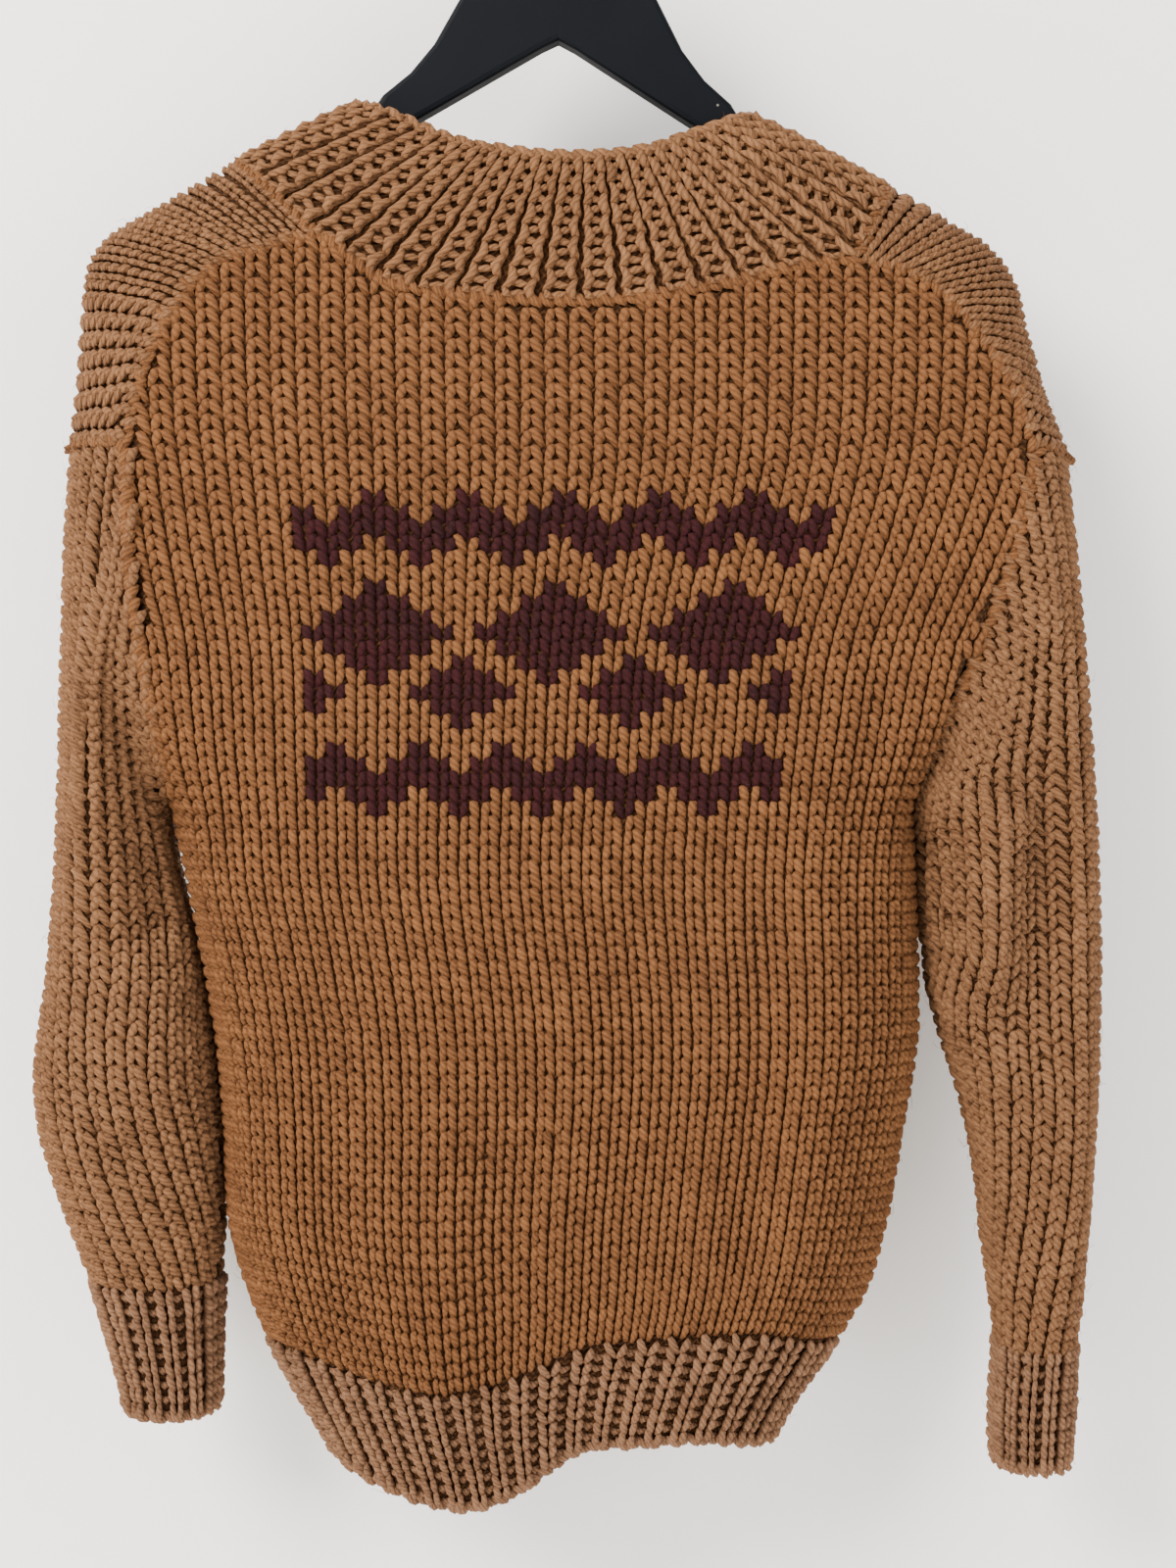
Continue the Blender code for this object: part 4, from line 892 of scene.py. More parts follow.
# Light creases on the fronts: x, drop, x, drop, width, height
FRONT_FOLDS = (
    (-150.0, 430.0, -128.0, 600.0, 16.0, -2.2),
    (-92.0, 470.0, -100.0, 690.0, 17.0, 1.8),
    (-40.0, 520.0, -48.0, 720.0, 14.0, -1.6),
    (46.0, 480.0, 40.0, 690.0, 16.0, 1.7),
    (96.0, 440.0, 88.0, 640.0, 15.0, -2.2),
    (134.0, 520.0, 120.0, 700.0, 13.0, 1.8),
)
FRONT_SHARES = np.linspace(0, 1, 4 * FRONT_WALES + 1)
FRONTS = {
    "left": (LEFT_FRONT_TOP, LEFT_FRONT_HEM, LEFT_FRONT_NECK),
    "right": (RIGHT_FRONT_TOP, RIGHT_FRONT_HEM, RIGHT_FRONT_NECK),
}
front_cloth = {part: body_cloth(1, part, FRONT_FOLDS, FRONT_SHARES) for part in FRONTS}


def front_line(part, table, column):
    """A line across a front as a function of its share from left to right. The top tables run
    from the sleeve to the zip, so the right one is read backwards."""
    turned = part == "right" and column == 1 and table is FRONTS[part][0]
    return lambda share: curve_through(table, column, 1 - share if turned else share)


for part, (top_table, hem_table, neck) in FRONTS.items():
    cloth = front_cloth[part]
    top, rib = front_line(part, top_table, 1), front_line(part, hem_table, 1)
    web = body_web(f"{part}_front_web", cloth, FRONT_WALES, top, rib)
    anchor = 1.0 if part == "left" else 0.0
    found = body_courses(cloth, FRONT_WALES, top, rib, anchor=anchor)
    share, drop, height = found[:3]
    row, column = body_spot(cloth, share, drop)
    centre, across, down, normal = frame_on(cloth, row, column)
    width = wale_width(cloth, row, column, 4) / curve_through(GAUGE, 2, drop)
    legs, tones = stitch_legs(centre, across, down, normal, width, height)
    stitches = leaf_object(f"{part}_front_stitches", [legs], camel_wool, [tones])
    for piece in (web, stitches):
        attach(piece, "cardigan")
    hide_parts(f"{part}_front")

# The sleeves are wide tubes in the same stitch that hang nearly straight down. The stitches run
# in columns from the shoulder's top line, and those beside the underarm seam end against it.
SLEEVE_SQUARENESS = 2.2
SLEEVE_FREE_DROP = 590.0
# Sleeve sections: drop, outer edge, inner edge, depth of back, depth of front
LEFT_SLEEVE = (
    (590.0, -252.5, -175.5, 42.0, 40.0),
    (627.0, -257.0, -170.5, 41.0, 38.0),
    (657.0, -254.0, -167.5, 40.0, 37.0),
    (680.0, -247.0, -166.5, 39.0, 36.0),
    (707.0, -237.0, -165.5, 37.0, 34.0),
    (728.0, -229.0, -165.5, 34.0, 31.0),
    (756.0, -221.0, -166.5, 28.0, 26.0),
    (780.0, -214.5, -167.0, 26.0, 24.0),
    (800.0, -212.0, -168.5, 25.0, 23.0),
)
RIGHT_SLEEVE = (
    (590.0, 258.5, 175.5, 45.0, 42.0),
    (612.0, 258.0, 181.5, 44.5, 41.5),
    (633.0, 257.0, 188.5, 44.0, 41.0),
    (652.0, 256.0, 193.5, 43.0, 41.0),
    (680.0, 254.0, 198.5, 42.0, 40.0),
    (706.0, 252.0, 201.0, 40.0, 38.0),
    (736.0, 249.5, 205.0, 36.0, 34.0),
    (758.0, 247.0, 207.5, 31.0, 29.0),
    (788.0, 245.5, 206.0, 28.0, 26.0),
    (820.0, 243.5, 206.5, 26.0, 24.0),
)
LEFT_CUFF = (728.0, 788.0)
RIGHT_CUFF = (758.0, 813.0)
# The way each sleeve leaves the armhole: knot, outward, down, reach
SLEEVE_START = (
    (0.0, 0.08, 1.0, 240.0),
    (3.0, 0.26, 1.0, 230.0),
    (6.0, 0.70, 0.75, 150.0),
    (8.0, 0.55, 0.85, 60.0),
    (9.0, 0.33, 0.94, 50.0),
)
# Large folds, then light creases, of the sides that face back: x, drop, x, drop, width, height
RIGHT_SLEEVE_FOLDS = (
    (227.0, 484.0, 226.0, 556.0, 14.0, -5.0),
    (226.0, 436.0, 224.0, 604.0, 18.0, -7.5),
    (219.0, 620.0, 216.0, 725.0, 14.0, -4.0),
    (176.0, 490.0, 212.0, 502.0, 10.0, 7.0),
    (203.0, 518.0, 198.0, 562.0, 16.0, 9.0),
    (176.0, 514.0, 180.0, 548.0, 9.0, -10.0),
    (208.0, 598.0, 184.0, 612.0, 10.0, -5.0),
    (246.0, 420.0, 248.0, 700.0, 9.0, 2.0),
    (200.0, 640.0, 232.0, 668.0, 8.0, -1.6),
)
LEFT_SLEEVE_FOLDS = (
    (-222.0, 600.0, -190.0, 632.0, 16.0, 4.0),
    (-196.0, 560.0, -176.0, 585.0, 12.0, -4.0),
    (-232.0, 430.0, -226.0, 560.0, 14.0, 3.0),
    (-209.0, 345.0, -193.0, 548.0, 12.0, -10.0),
    (-240.0, 636.0, -214.0, 662.0, 9.0, -2.2),
    (-206.0, 664.0, -180.0, 690.0, 9.0, -1.6),
)
# Light creases of the sides that face front
SLEEVE_FRONT_FOLDS = (
    (-228.0, 430.0, -220.0, 600.0, 12.0, -2.4),
    (-200.0, 560.0, -184.0, 640.0, 12.0, 2.2),
    (236.0, 430.0, 232.0, 610.0, 12.0, -2.4),
    (206.0, 540.0, 214.0, 680.0, 12.0, 2.0),
)
SLEEVE_STEP = 4.0
LEAD_ROWS = 72
CUFF_TURN = 12.0
SLEEVE_SETTLE = 10.0
SLEEVE_PULL = 0.8
LEAD_FADE = 16
SMOOTH_ROWS = 9
RING_SHARES = np.linspace(0, 1, 241)[:-1]
LOOP_STEPS = np.linspace(0, LOOP_KNOTS, 723)


def loop_shares(table, knots):
    """How far round the armhole each knot lies, by length, from the shoulder's top."""
    length = gone_along(armhole_at(table, LOOP_STEPS))
    return np.interp(knots, LOOP_STEPS, length / length[-1])


def sleeve_row(drop):
    """Grid row of a sleeve at a drop below its lead from the armhole."""
    return LEAD_ROWS + (drop - SLEEVE_FREE_DROP) / SLEEVE_STEP


def sleeve_ring(table, drop, shares):
    """A level ring of a sleeve, a rounded box from its outer edge round its back."""
    outer, inner, back, front = (float(curve_through(table, k, drop)) for k in (1, 2, 3, 4))
    angle = np.linspace(0, 2 * math.pi, 241)
    power = 2 / SLEEVE_SQUARENESS
    cosine = np.sign(np.cos(angle)) * np.abs(np.cos(angle)) ** power
    sine = np.sign(np.sin(angle)) * np.abs(np.sin(angle)) ** power
    x = (outer + inner) / 2 + (outer - inner) / 2 * cosine
    y = np.where(sine > 0, -back * sine, -front * sine)
    length = np.concatenate([[0], np.cumsum(np.hypot(np.diff(x), np.diff(y)))])
    at = np.mod(shares, 1) * length[-1]
    ring = [np.interp(at, length, x), np.interp(at, length, y), np.full(len(at), -drop)]
    return np.stack(ring, axis=1)


# Where each sleeve lies close against the body: first drop, last drop, by how much
NEAR_BODY = {"left": (490.0, 712.0, 3.4), "right": (450.0, 566.0, 3.6)}


def sleeve_points(armhole, table, end_drop, folds, outward, nearness):
    """Rows down a sleeve: a smooth lead from the armhole loop to a level ring, then level
    rings to the end. Each point keeps its share of the way round."""
    knots = np.interp(RING_SHARES, loop_shares(armhole, LOOP_STEPS), LOOP_STEPS)
    start = armhole_at(armhole, knots)
    half_knot = np.minimum(knots, LOOP_KNOTS - knots)
    out, down, reach = (curve_through(SLEEVE_START, k, half_knot) for k in (1, 2, 3))
    away = unit(np.stack([outward * out, np.zeros(len(out)), -down], axis=1)) * reach[:, None]
    end = sleeve_ring(table, SLEEVE_FREE_DROP, RING_SHARES)
    below = sleeve_ring(table, SLEEVE_FREE_DROP + SLEEVE_SETTLE, RING_SHARES)
    arrive = unit(below - end) * np.linalg.norm(end - start, axis=1)[:, None] * SLEEVE_PULL
    t = np.linspace(0, 1, LEAD_ROWS + 1)[:, None, None]
    rise = t * t * (3 - 2 * t)
    lead = start * (1 - rise) + end * rise + away * t * (1 - t) ** 2 - arrive * t * t * (1 - t)
    drops = np.arange(SLEEVE_FREE_DROP + SLEEVE_STEP, end_drop, SLEEVE_STEP)
    rings = np.stack([sleeve_ring(table, drop, RING_SHARES) for drop in drops])
    points = np.concatenate([lead, rings])
    fade = np.ones(len(points))
    fade[:LEAD_FADE] = np.linspace(0, 1, LEAD_FADE)
    points = push_folds(points, folds, -1, fade[:, None])
    points = push_folds(points, SLEEVE_FRONT_FOLDS, 1, fade[:, None])
    first, last, amount = nearness
    along = np.clip((-points[..., 2] - first) / (last - first), 0, 1)
    inner = outward * (points[..., 0].mean(axis=1, keepdims=True) - points[..., 0])
    inner = np.clip(inner / inner.max(axis=1, keepdims=True), 0, 1)
    points[..., 0] -= outward * amount * np.sqrt(np.sin(math.pi * along)) * inner
    return points


def sleeve_courses(cloth, wale, last_row):
    """Where a sleeve's stitches sit: columns a wale apart along the cloth, counted from the
    top line both ways, rows a course apart counted up from the cuff. Returns, for each
    stitch, its grid row and column, its column's direction and its width."""
    points = cloth.points[: last_row + 1]
    rows, columns = points.shape[:2]
    course_way = unit(np.gradient(points.mean(axis=1), axis=0))[:, None, :]
    steps = np.roll(points, -1, axis=1) - points
    steps = steps - np.sum(steps * course_way, axis=2, keepdims=True) * course_way
    steps = np.linalg.norm(steps, axis=2)
    grid_rows = np.arange(rows)
    places = []
    for side in (-1, 1):
        gone = np.cumsum(steps if side > 0 else steps[:, ::-1], axis=1)
        gone = np.concatenate([np.zeros((rows, 1)), gone], axis=1)
        padded = np.pad(gone, ((SMOOTH_ROWS, SMOOTH_ROWS), (0, 0)), mode="edge")
        span = 2 * SMOOTH_ROWS + 1
        gone = sum(padded[k : k + rows] for k in range(span)) / span
        half = gone[:, -1] / 2
        for number in range(int(half.max() / wale) + 1):
            reach = (number + np.array((0.0, 0.5, 1.0))) * wale
            found = np.array([np.interp(reach, row, np.arange(columns + 1)) for row in gone])
            fits = reach[1] < half - 0.25 * wale
            if fits.sum() < 3:
                continue
            r = grid_rows[fits]
            column = side * found[fits, 1]
            wide = found[fits, 2] - found[fits, 0]
            above = np.linalg.norm(np.diff(cloth.at(r, column), axis=0), axis=1)
            above = np.append(np.cumsum(above[::-1])[::-1], 0.0)
            courses = (np.arange(int(above.max() / COURSE) + 1) + 0.5) * COURSE
            courses = courses[courses < above.max() - 1.0]
            place = np.interp(courses, above[::-1], r[::-1])
            along = np.interp(place, r, column)
            slope = np.interp(place, r, np.gradient(column, r))
            spread = np.linalg.norm(cloth.read(cloth.across, place, along), axis=-1)
            spread = np.clip(spread * np.interp(place, r, wide), 0.8 * wale, 1.3 * wale)
            places.append(np.stack([place, along, slope, spread], axis=1))
    return np.concatenate(places)


# The sleeves' yarn is a lighter copy of the camel wool, painted light that stands in for the brighter
# light falling on the sleeves at the sides
lit_sleeve_wool = wool("camel wool, sleeves", (0.227, 0.107, 0.0465), (0.0665, 0.0268, 0.0100))
SLEEVES = {
    "left": (LEFT_ARMHOLE, LEFT_SLEEVE, LEFT_CUFF, LEFT_SLEEVE_FOLDS, -1),
    "right": (RIGHT_ARMHOLE, RIGHT_SLEEVE, RIGHT_CUFF, RIGHT_SLEEVE_FOLDS, 1),
}
SLEEVE_WALE = 10.2
sleeve_cloth = {}
for part, (armhole, table, cuff, folds, outward) in SLEEVES.items():
    points = sleeve_points(armhole, table, cuff[1] + CUFF_TURN, folds, outward, NEAR_BODY[part])
    cloth = Cloth(points, -outward, closed=True)
    sleeve_cloth[part] = cloth
    cuff_row = sleeve_row(cuff[0])
    rows, columns = np.meshgrid(np.linspace(0, cuff_row, 60), np.arange(0, 240, 5), indexing="ij")
    uv = np.stack([columns / 240 * 34, rows * 0.55], axis=-1)
    web = web_shell(f"{part}_sleeve_web", cloth, rows, columns, uv, closed=True)
    place = sleeve_courses(cloth, SLEEVE_WALE, int(cuff_row))
    centre = cloth.at(place[:, 0], place[:, 1])
    normal = cloth.out(place[:, 0], place[:, 1])
    down = cloth.at(place[:, 0] + 0.7, place[:, 1] + 0.7 * place[:, 2])
    down = flattened(down - cloth.at(place[:, 0] - 0.7, place[:, 1] - 0.7 * place[:, 2]), normal)
    across = unit(np.cross(normal, down))
    legs, tones = stitch_legs(centre, across, down, normal, place[:, 3], COURSE)
    stitches = leaf_object(f"{part}_sleeve_stitches", [legs], lit_sleeve_wool, [tones])
    for piece in (web, stitches):
        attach(piece, "cardigan")
    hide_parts(f"{part}_sleeve")

# The shoulder strips are two bands knitted sideways, from the sleeve's top to the neck, that
# join the back to the fronts. Their stitches run across the strip.
LEFT_RIDGE = (
    (0.0, -240.0, 322.0),
    (0.10, -236.5, 292.0),
    (0.20, -234.5, 262.0),
    (0.32, -232.0, 240.0),
    (0.42, -225.5, 226.5),
    (0.52, -213.0, 217.5),
    (0.64, -197.0, 208.0),
    (0.78, -181.0, 198.6),
    (0.90, -168.5, 191.0),
    (1.0, -160.0, 186.0),
)
RIGHT_RIDGE = (
    (0.0, 243.0, 327.0),
    (0.10, 236.6, 311.0),
    (0.20, 231.0, 296.0),
    (0.30, 226.6, 279.0),
    (0.39, 222.8, 266.0),
    (0.49, 220.0, 251.0),
    (0.59, 213.5, 238.0),
    (0.71, 202.0, 225.5),
    (0.83, 186.0, 216.0),
    (0.93, 171.0, 206.0),
    (1.0, 157.0, 199.0),
)
STRIP_ROWS = 61
STRIP_COLUMNS = 49


def true_edge(side, part, shares, drops):
    """Points of a body panel's true outline, from edge to edge, at shares and drops."""
    found = []
    for share, drop in zip(shares, drops):
        level = np.array([drop])
        left_x, left_y = body_edge(LEFT_ARMHOLE, 1, level)
        right_x, right_y = body_edge(RIGHT_ARMHOLE, 2, level)
        depth = curve_through(BODY, 3 if side < 0 else 4, level)
        angle = np.linspace(0, math.pi, STATIONS)
        across = (1 - squared(np.cos(angle))) / 2
        bump = squared(np.sin(angle))
        x = left_x * (1 - across) + right_x * across
        edge_y = left_y * (1 - across) + right_y * across
        y = side * (edge_y + (depth - edge_y) * bump)
        length = np.concatenate([[0], np.cumsum(np.hypot(np.diff(x), np.diff(y)))])
        start = np.interp(ZIP_HALF_GAP, x, length) if part == "right" else 0.0
        end = np.interp(-ZIP_HALF_GAP, x, length) if part == "left" else length[-1]
        at = start + (end - start) * share
        found.append((np.interp(at, length, x), np.interp(at, length, y), -drop))
    return np.array(found)


def strip_cloth(part):
    """A strip's surface: arches from the back's edge over the ridge to the front's edge, eased
    into the armhole loop at the sleeve."""
    armhole = LEFT_ARMHOLE if part == "left" else RIGHT_ARMHOLE
    ridge = LEFT_RIDGE if part == "left" else RIGHT_RIDGE
    top_table, _, neck = FRONTS[part]
    share = np.linspace(0, 1, STRIP_ROWS)
    back_share = share * BACK_NECK[0] if part == "left" else 1 - share * (1 - BACK_NECK[1])
    back_edge = true_edge(-1, None, back_share, curve_through(BACK_TOP, 1, back_share))
    front_share = share * neck
    front_drop = curve_through(top_table, 1, front_share)
    if part == "right":
        front_share = 1 - front_share
    front_edge = true_edge(1, part, front_share, front_drop)
    ridge_line = [curve_through(ridge, 1, share), 0 * share, -curve_through(ridge, 2, share)]
    ridge_line = np.stack(ridge_line, axis=1)
    turn = np.linspace(0, 1, STRIP_COLUMNS)
    swing = (1 - np.cos(math.pi * turn))[None, :, None] / 2
    lift = np.abs(np.sin(math.pi * turn))[None, :, None] ** 0.9
    surface = back_edge[:, None] + (front_edge - back_edge)[:, None] * swing
    surface = surface + (ridge_line - (back_edge + front_edge) / 2)[:, None] * lift
    ends = armhole_at(armhole, CORNER_KNOT * (1 - 2 * turn))
    surface = surface + ((1 - share) ** 2)[:, None, None] * (ends - surface[0])[None]
    return Cloth(surface, 1.0 if part == "left" else -1.0), back_edge, front_edge


STRIP_WALE = 9.4
strips = {part: strip_cloth(part) for part in FRONTS}
for part, (cloth, back_edge, front_edge) in strips.items():
    rows, columns = np.meshgrid(
        np.linspace(0, STRIP_ROWS - 1, 26), np.linspace(0, STRIP_COLUMNS - 1, 17), indexing="ij"
    )
    uv = np.stack([rows * 0.3, columns * 0.3], axis=-1)
    web = web_shell(f"{part}_strip_web", cloth, rows, columns, uv)
    length = gone_along(cloth.points[:, STRIP_COLUMNS // 2])
    wales = int(length[-1] / STRIP_WALE)
    middles = (np.arange(wales) + 0.5) / wales * length[-1]
    wale_rows = np.interp(middles, length, np.arange(STRIP_ROWS))
    spots = []
    for row in wale_rows:
        places = np.arange(STRIP_COLUMNS)
        far = gone_along(cloth.at(np.full(STRIP_COLUMNS, row), places))
        courses = max(2, int(round(far[-1] / COURSE)))
        column = np.interp((np.arange(courses) + 0.5) / courses * far[-1], far, places)
        spots.append(np.stack([np.full(courses, row), column], axis=1))
    spots = np.concatenate(spots)
    centre, normal = cloth.at(spots[:, 0], spots[:, 1]), cloth.out(spots[:, 0], spots[:, 1])
    down = cloth.at(spots[:, 0], spots[:, 1] + 1.0) - cloth.at(spots[:, 0], spots[:, 1] - 1.0)
    down = flattened(down, normal)
    across = unit(np.cross(normal, down))
    row_step = np.linalg.norm(
        cloth.at(spots[:, 0] + 0.5, spots[:, 1]) - cloth.at(spots[:, 0] - 0.5, spots[:, 1]), axis=1
    )
    width = np.clip(row_step * (STRIP_ROWS - 1) / wales, 6.5, 12.0)
    legs, tones = stitch_legs(centre, across, down, normal, width, COURSE, 0.4)
    stitches = leaf_object(f"{part}_strip_stitches", [legs], lit_sleeve_wool, [tones])
    for piece in (web, stitches):
        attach(piece, "cardigan")
    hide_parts(f"{part}_shoulder_strap")

# The collar is one long band knitted sideways in garter stitch and sewn round the neck from
# zip to zip. Each pair of rows makes one ridge across the band, the same on both faces, and
# its outer edge is a chain of slanted links.
COLLAR_RIDGES = 50
COLLAR_STITCHES = 7
COLLAR_RAISE = 2.0
COLLAR_BULGE = 1.0
COLLAR_THICK = 5.0
# Free edge of the collar along the band: share, x, drop, y
COLLAR_EDGE = (
    (0.0, -5.0, 290.0, 46.0),
    (0.06, -9.0, 270.0, 48.0),
    (0.13, -36.0, 234.0, 46.0),
    (0.20, -66.0, 196.0, 40.0),
    (0.245, -88.0, 171.0, 24.0),
    (0.283, -102.5, 156.0, 3.0),
    (0.315, -90.0, 163.0, -20.0),
    (0.345, -70.0, 172.5, -25.0),
    (0.38, -51.0, 181.6, -31.0),
    (0.43, -28.0, 187.0, -34.0),
    (0.50, 4.0, 190.0, -35.0),
    (0.57, 36.0, 187.0, -34.0),
    (0.63, 57.0, 180.0, -31.0),
    (0.665, 72.0, 173.0, -25.0),
    (0.69, 80.0, 169.0, -21.0),
    (0.72, 92.0, 161.5, 2.0),
    (0.76, 82.0, 175.0, 24.0),
    (0.81, 62.0, 200.0, 40.0),
    (0.87, 36.0, 236.0, 46.0),
    (0.94, 9.0, 271.0, 48.0),
    (1.0, 5.0, 290.0, 46.0),
)


def neck_seam():
    """The line that the collar is sewn to: left front, left strip, back, right strip, right
    front, from zip to zip."""
    left_share = np.linspace(1, LEFT_FRONT_NECK, 60)
    left = true_edge(1, "left", left_share, curve_through(LEFT_FRONT_TOP, 1, left_share))
    back_share = np.linspace(BACK_NECK[0], BACK_NECK[1], 90)
    back = true_edge(-1, None, back_share, curve_through(BACK_TOP, 1, back_share))
    right_share = np.linspace(RIGHT_FRONT_NECK, 1, 60)
    right_drop = curve_through(RIGHT_FRONT_TOP, 1, right_share)
    right = true_edge(1, "right", 1 - right_share, right_drop)
    pieces = [left, strips["left"][0].points[-1, ::-1], back, strips["right"][0].points[-1], right]
    return np.concatenate([pieces[0]] + [piece[1:] for piece in pieces[1:]])


def measured(line):
    """Shares of a line's length at its points, and its length."""
    length = gone_along(line)
    return length / length[-1], length[-1]


def along_line(line, places, at):
    """Points of a line at shares of its length, straight between its own points."""
    return np.stack([np.interp(at, places, line[:, axis]) for axis in range(3)], axis=-1)


neck_line = neck_seam()
neck_places = measured(neck_line)[0]
COLLAR_COLUMNS = 12 * COLLAR_RIDGES + 1
COLLAR_ROWS = 25
collar_at = np.linspace(0, 1, COLLAR_COLUMNS)
collar_base = along_line(neck_line, neck_places, collar_at)
collar_free = np.stack([curve_through(COLLAR_EDGE, k, collar_at) for k in (1, 3, 2)], axis=1)
collar_free[:, 2] *= -1
levels = np.linspace(0, 1, COLLAR_ROWS)[:, None, None]
collar_surface = collar_base[None] * (1 - levels) + collar_free[None] * levels
kernel = np.hanning(19)
kernel /= kernel.sum()
padded = np.pad(collar_surface, ((0, 0), (9, 9), (0, 0)), mode="edge")
smooth_collar = sum(w * padded[:, k : k + COLLAR_COLUMNS] for k, w in enumerate(kernel))
smooth_share = np.linspace(0, 1, COLLAR_ROWS)[:, None, None]
collar_surface = collar_surface * (1 - smooth_share) + smooth_collar * smooth_share
rough = Cloth(collar_surface, 1.0)
collar_turn = 1.0 if rough.normals[1, COLLAR_COLUMNS // 2, 1] < 0 else -1.0
bulge = COLLAR_BULGE * np.sin(math.pi * np.linspace(0, 1, COLLAR_ROWS))[:, None, None]
collar_cloth = Cloth(collar_surface + rough.normals * collar_turn * bulge, collar_turn)

rows, columns = np.meshgrid(
    np.linspace(0, COLLAR_ROWS - 1, 13), np.linspace(0, COLLAR_COLUMNS - 1, 301), indexing="ij"
)
uv = np.stack([rows * 0.3, columns / 12 * 2], axis=-1)
collar_web = web_shell("collar_web", collar_cloth, rows, columns, uv)


RIDGE_COLUMNS = 12.0
STITCH_ROWS = (COLLAR_ROWS - 1) / COLLAR_STITCHES


def garter_bumps(cloth, side):
    """Two rows of interlocked curved bumps for each ridge: the upper row arches one way, the
    lower row the other way, half a stitch along. Side 1 is the outer face, -1 the inner."""
    groups, tones = [], []
    for way in (-1, 1):
        shift = 0.0 if way < 0 else 0.5
        count = COLLAR_STITCHES + (1 if way > 0 else 0)
        place = (np.arange(count) + 0.5 - shift) * STITCH_ROWS
        ridge = (np.arange(COLLAR_RIDGES) + 0.5) * RIDGE_COLUMNS
        ridge_grid, place_grid = np.meshgrid(ridge, place, indexing="ij")
        column, row = ridge_grid.ravel(), place_grid.ravel()
        spread = (LEAF_PLACES - 0.5) * STITCH_ROWS * 1.25
        arch = np.cos(math.pi * (LEAF_PLACES - 0.5))
        rows_at = row[:, None] + spread[None, :]
        columns_at = column[:, None] + way * (0.8 + 2.4 * arch)[None, :]
        jitter = rng.normal(0, 0.22, (len(row), 1))
        inside = np.clip(rows_at, 0.2, COLLAR_ROWS - 1.3)
        point, normal = cloth.at(inside, columns_at + jitter), cloth.out(inside, columns_at)
        face = 0.0 if side > 0 else -COLLAR_THICK
        height = side * (COLLAR_RAISE * 0.9 - 2.3 * (1 - arch))
        depth = face + (height - side * 2.1)
        spine = point + normal * depth[None, :, None]
        run = cloth.at(row, column + 1.5) - cloth.at(row, column - 1.5)
        middle = cloth.out(row, column)
        sideways = flattened(run, middle)
        size = 2.35 * (1 + rng.normal(0, 0.04, len(row)))
        groups.append(leaves(spine, sideways, middle, size, size * 0.9))
        tones.append(rng.normal(0, 0.5, len(row)))
    return groups, tones


def garter_valleys(cloth):
    """Slanted legs in the hollows between the ridges, two to a stitch, low in the cloth."""
    column, row = np.meshgrid(
        (np.arange(COLLAR_RIDGES - 1) + 1.0) * RIDGE_COLUMNS,
        (np.arange(COLLAR_STITCHES) + 0.5) * STITCH_ROWS,
        indexing="ij",
    )
    column, row = column.ravel(), row.ravel()
    normal = cloth.out(row, column)
    groups, tones = [], []
    for side in (-1, 1):
        rows_at = row[:, None] + side * STITCH_ROWS * (0.34 - 0.22 * LEAF_PLACES)[None, :]
        columns_at = column[:, None] + (LEAF_PLACES - 0.5)[None, :] * RIDGE_COLUMNS * 0.74
        point = cloth.at(np.clip(rows_at, 0, COLLAR_ROWS - 1.1), columns_at)
        sink = -1.9 - 1.6 * np.abs(2 * LEAF_PLACES - 1)
        spine = point + normal[:, None] * sink[None, :, None]
        run = unit(cloth.at(row + 0.5, column) - cloth.at(row - 0.5, column))
        groups.append(leaves(spine, run, normal, np.full(len(row), 2.0), np.full(len(row), 1.8)))
        # The legs' tone is set darker than the bumps', painted shade in the hollows between the ridges.
        tones.append(rng.normal(-0.2, 0.4, len(row)))
    return groups, tones


def chain_links(points, outs, pitch, half_width, half_depth, slant, sink=0.0):
    """Overlapping slanted leaves along a line, as a cast-off edge or a sewn seam has."""
    places, length = measured(points)
    count = max(2, int(length / pitch))
    at = (np.arange(count) + 0.5) / count
    centre, out = along_line(points, places, at), unit(along_line(outs, places, at))
    step = 0.5 / count
    run = along_line(points, places, np.clip(at + step, 0, 1))
    run = unit(run - along_line(points, places, np.clip(at - step, 0, 1)))
    side = unit(np.cross(run, out))
    t = LEAF_PLACES - 0.5
    reach = t[None, :] * pitch * 1.5
    lean = slant * np.sin(math.pi * t)[None, :]
    dive = sink - 1.2 * np.abs(2 * t)[None, :] ** 2
    spine = centre[:, None] + run[:, None] * reach[..., None] + side[:, None] * lean[..., None]
    spine = spine + out[:, None] * dive[..., None]
    size = 1 + rng.normal(0, 0.05, count)
    made = leaves(spine, side, out, half_width * size, half_depth * size)
    return made, rng.normal(0, 0.45, count)


# The collar's yarn is a lighter copy of the camel wool, painted light that stands in for the brighter
# light falling on the collar
lit_collar_wool = wool("camel wool, collar", (0.252, 0.117, 0.0495), (0.070, 0.0285, 0.0108))
bumps, bump_tones = garter_bumps(collar_cloth, 1)
inner_bumps, inner_tones = garter_bumps(collar_cloth, -1)
valleys, valley_tones = garter_valleys(collar_cloth)
edge_line = collar_cloth.points[-1, ::6]
edge_up = unit(collar_cloth.points[-1, ::6] - collar_cloth.points[-3, ::6])
edge_out = unit(edge_up * 0.7 + collar_cloth.normals[-1, ::6])
edge_middle = edge_line - collar_cloth.normals[-1, ::6] * 2.0 - edge_up * 1.2
edge_links, edge_tones = chain_links(edge_middle, edge_out, 9.5, 2.9, 2.6, 2.2, 0.6)
collar_stitches = leaf_object(
    "collar_stitches",
    bumps + inner_bumps + valleys + [edge_links],
    lit_collar_wool,
    bump_tones + inner_tones + valley_tones + [edge_tones],
)
for piece in (collar_web, collar_stitches):
    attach(piece, "cardigan")
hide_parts("collar")
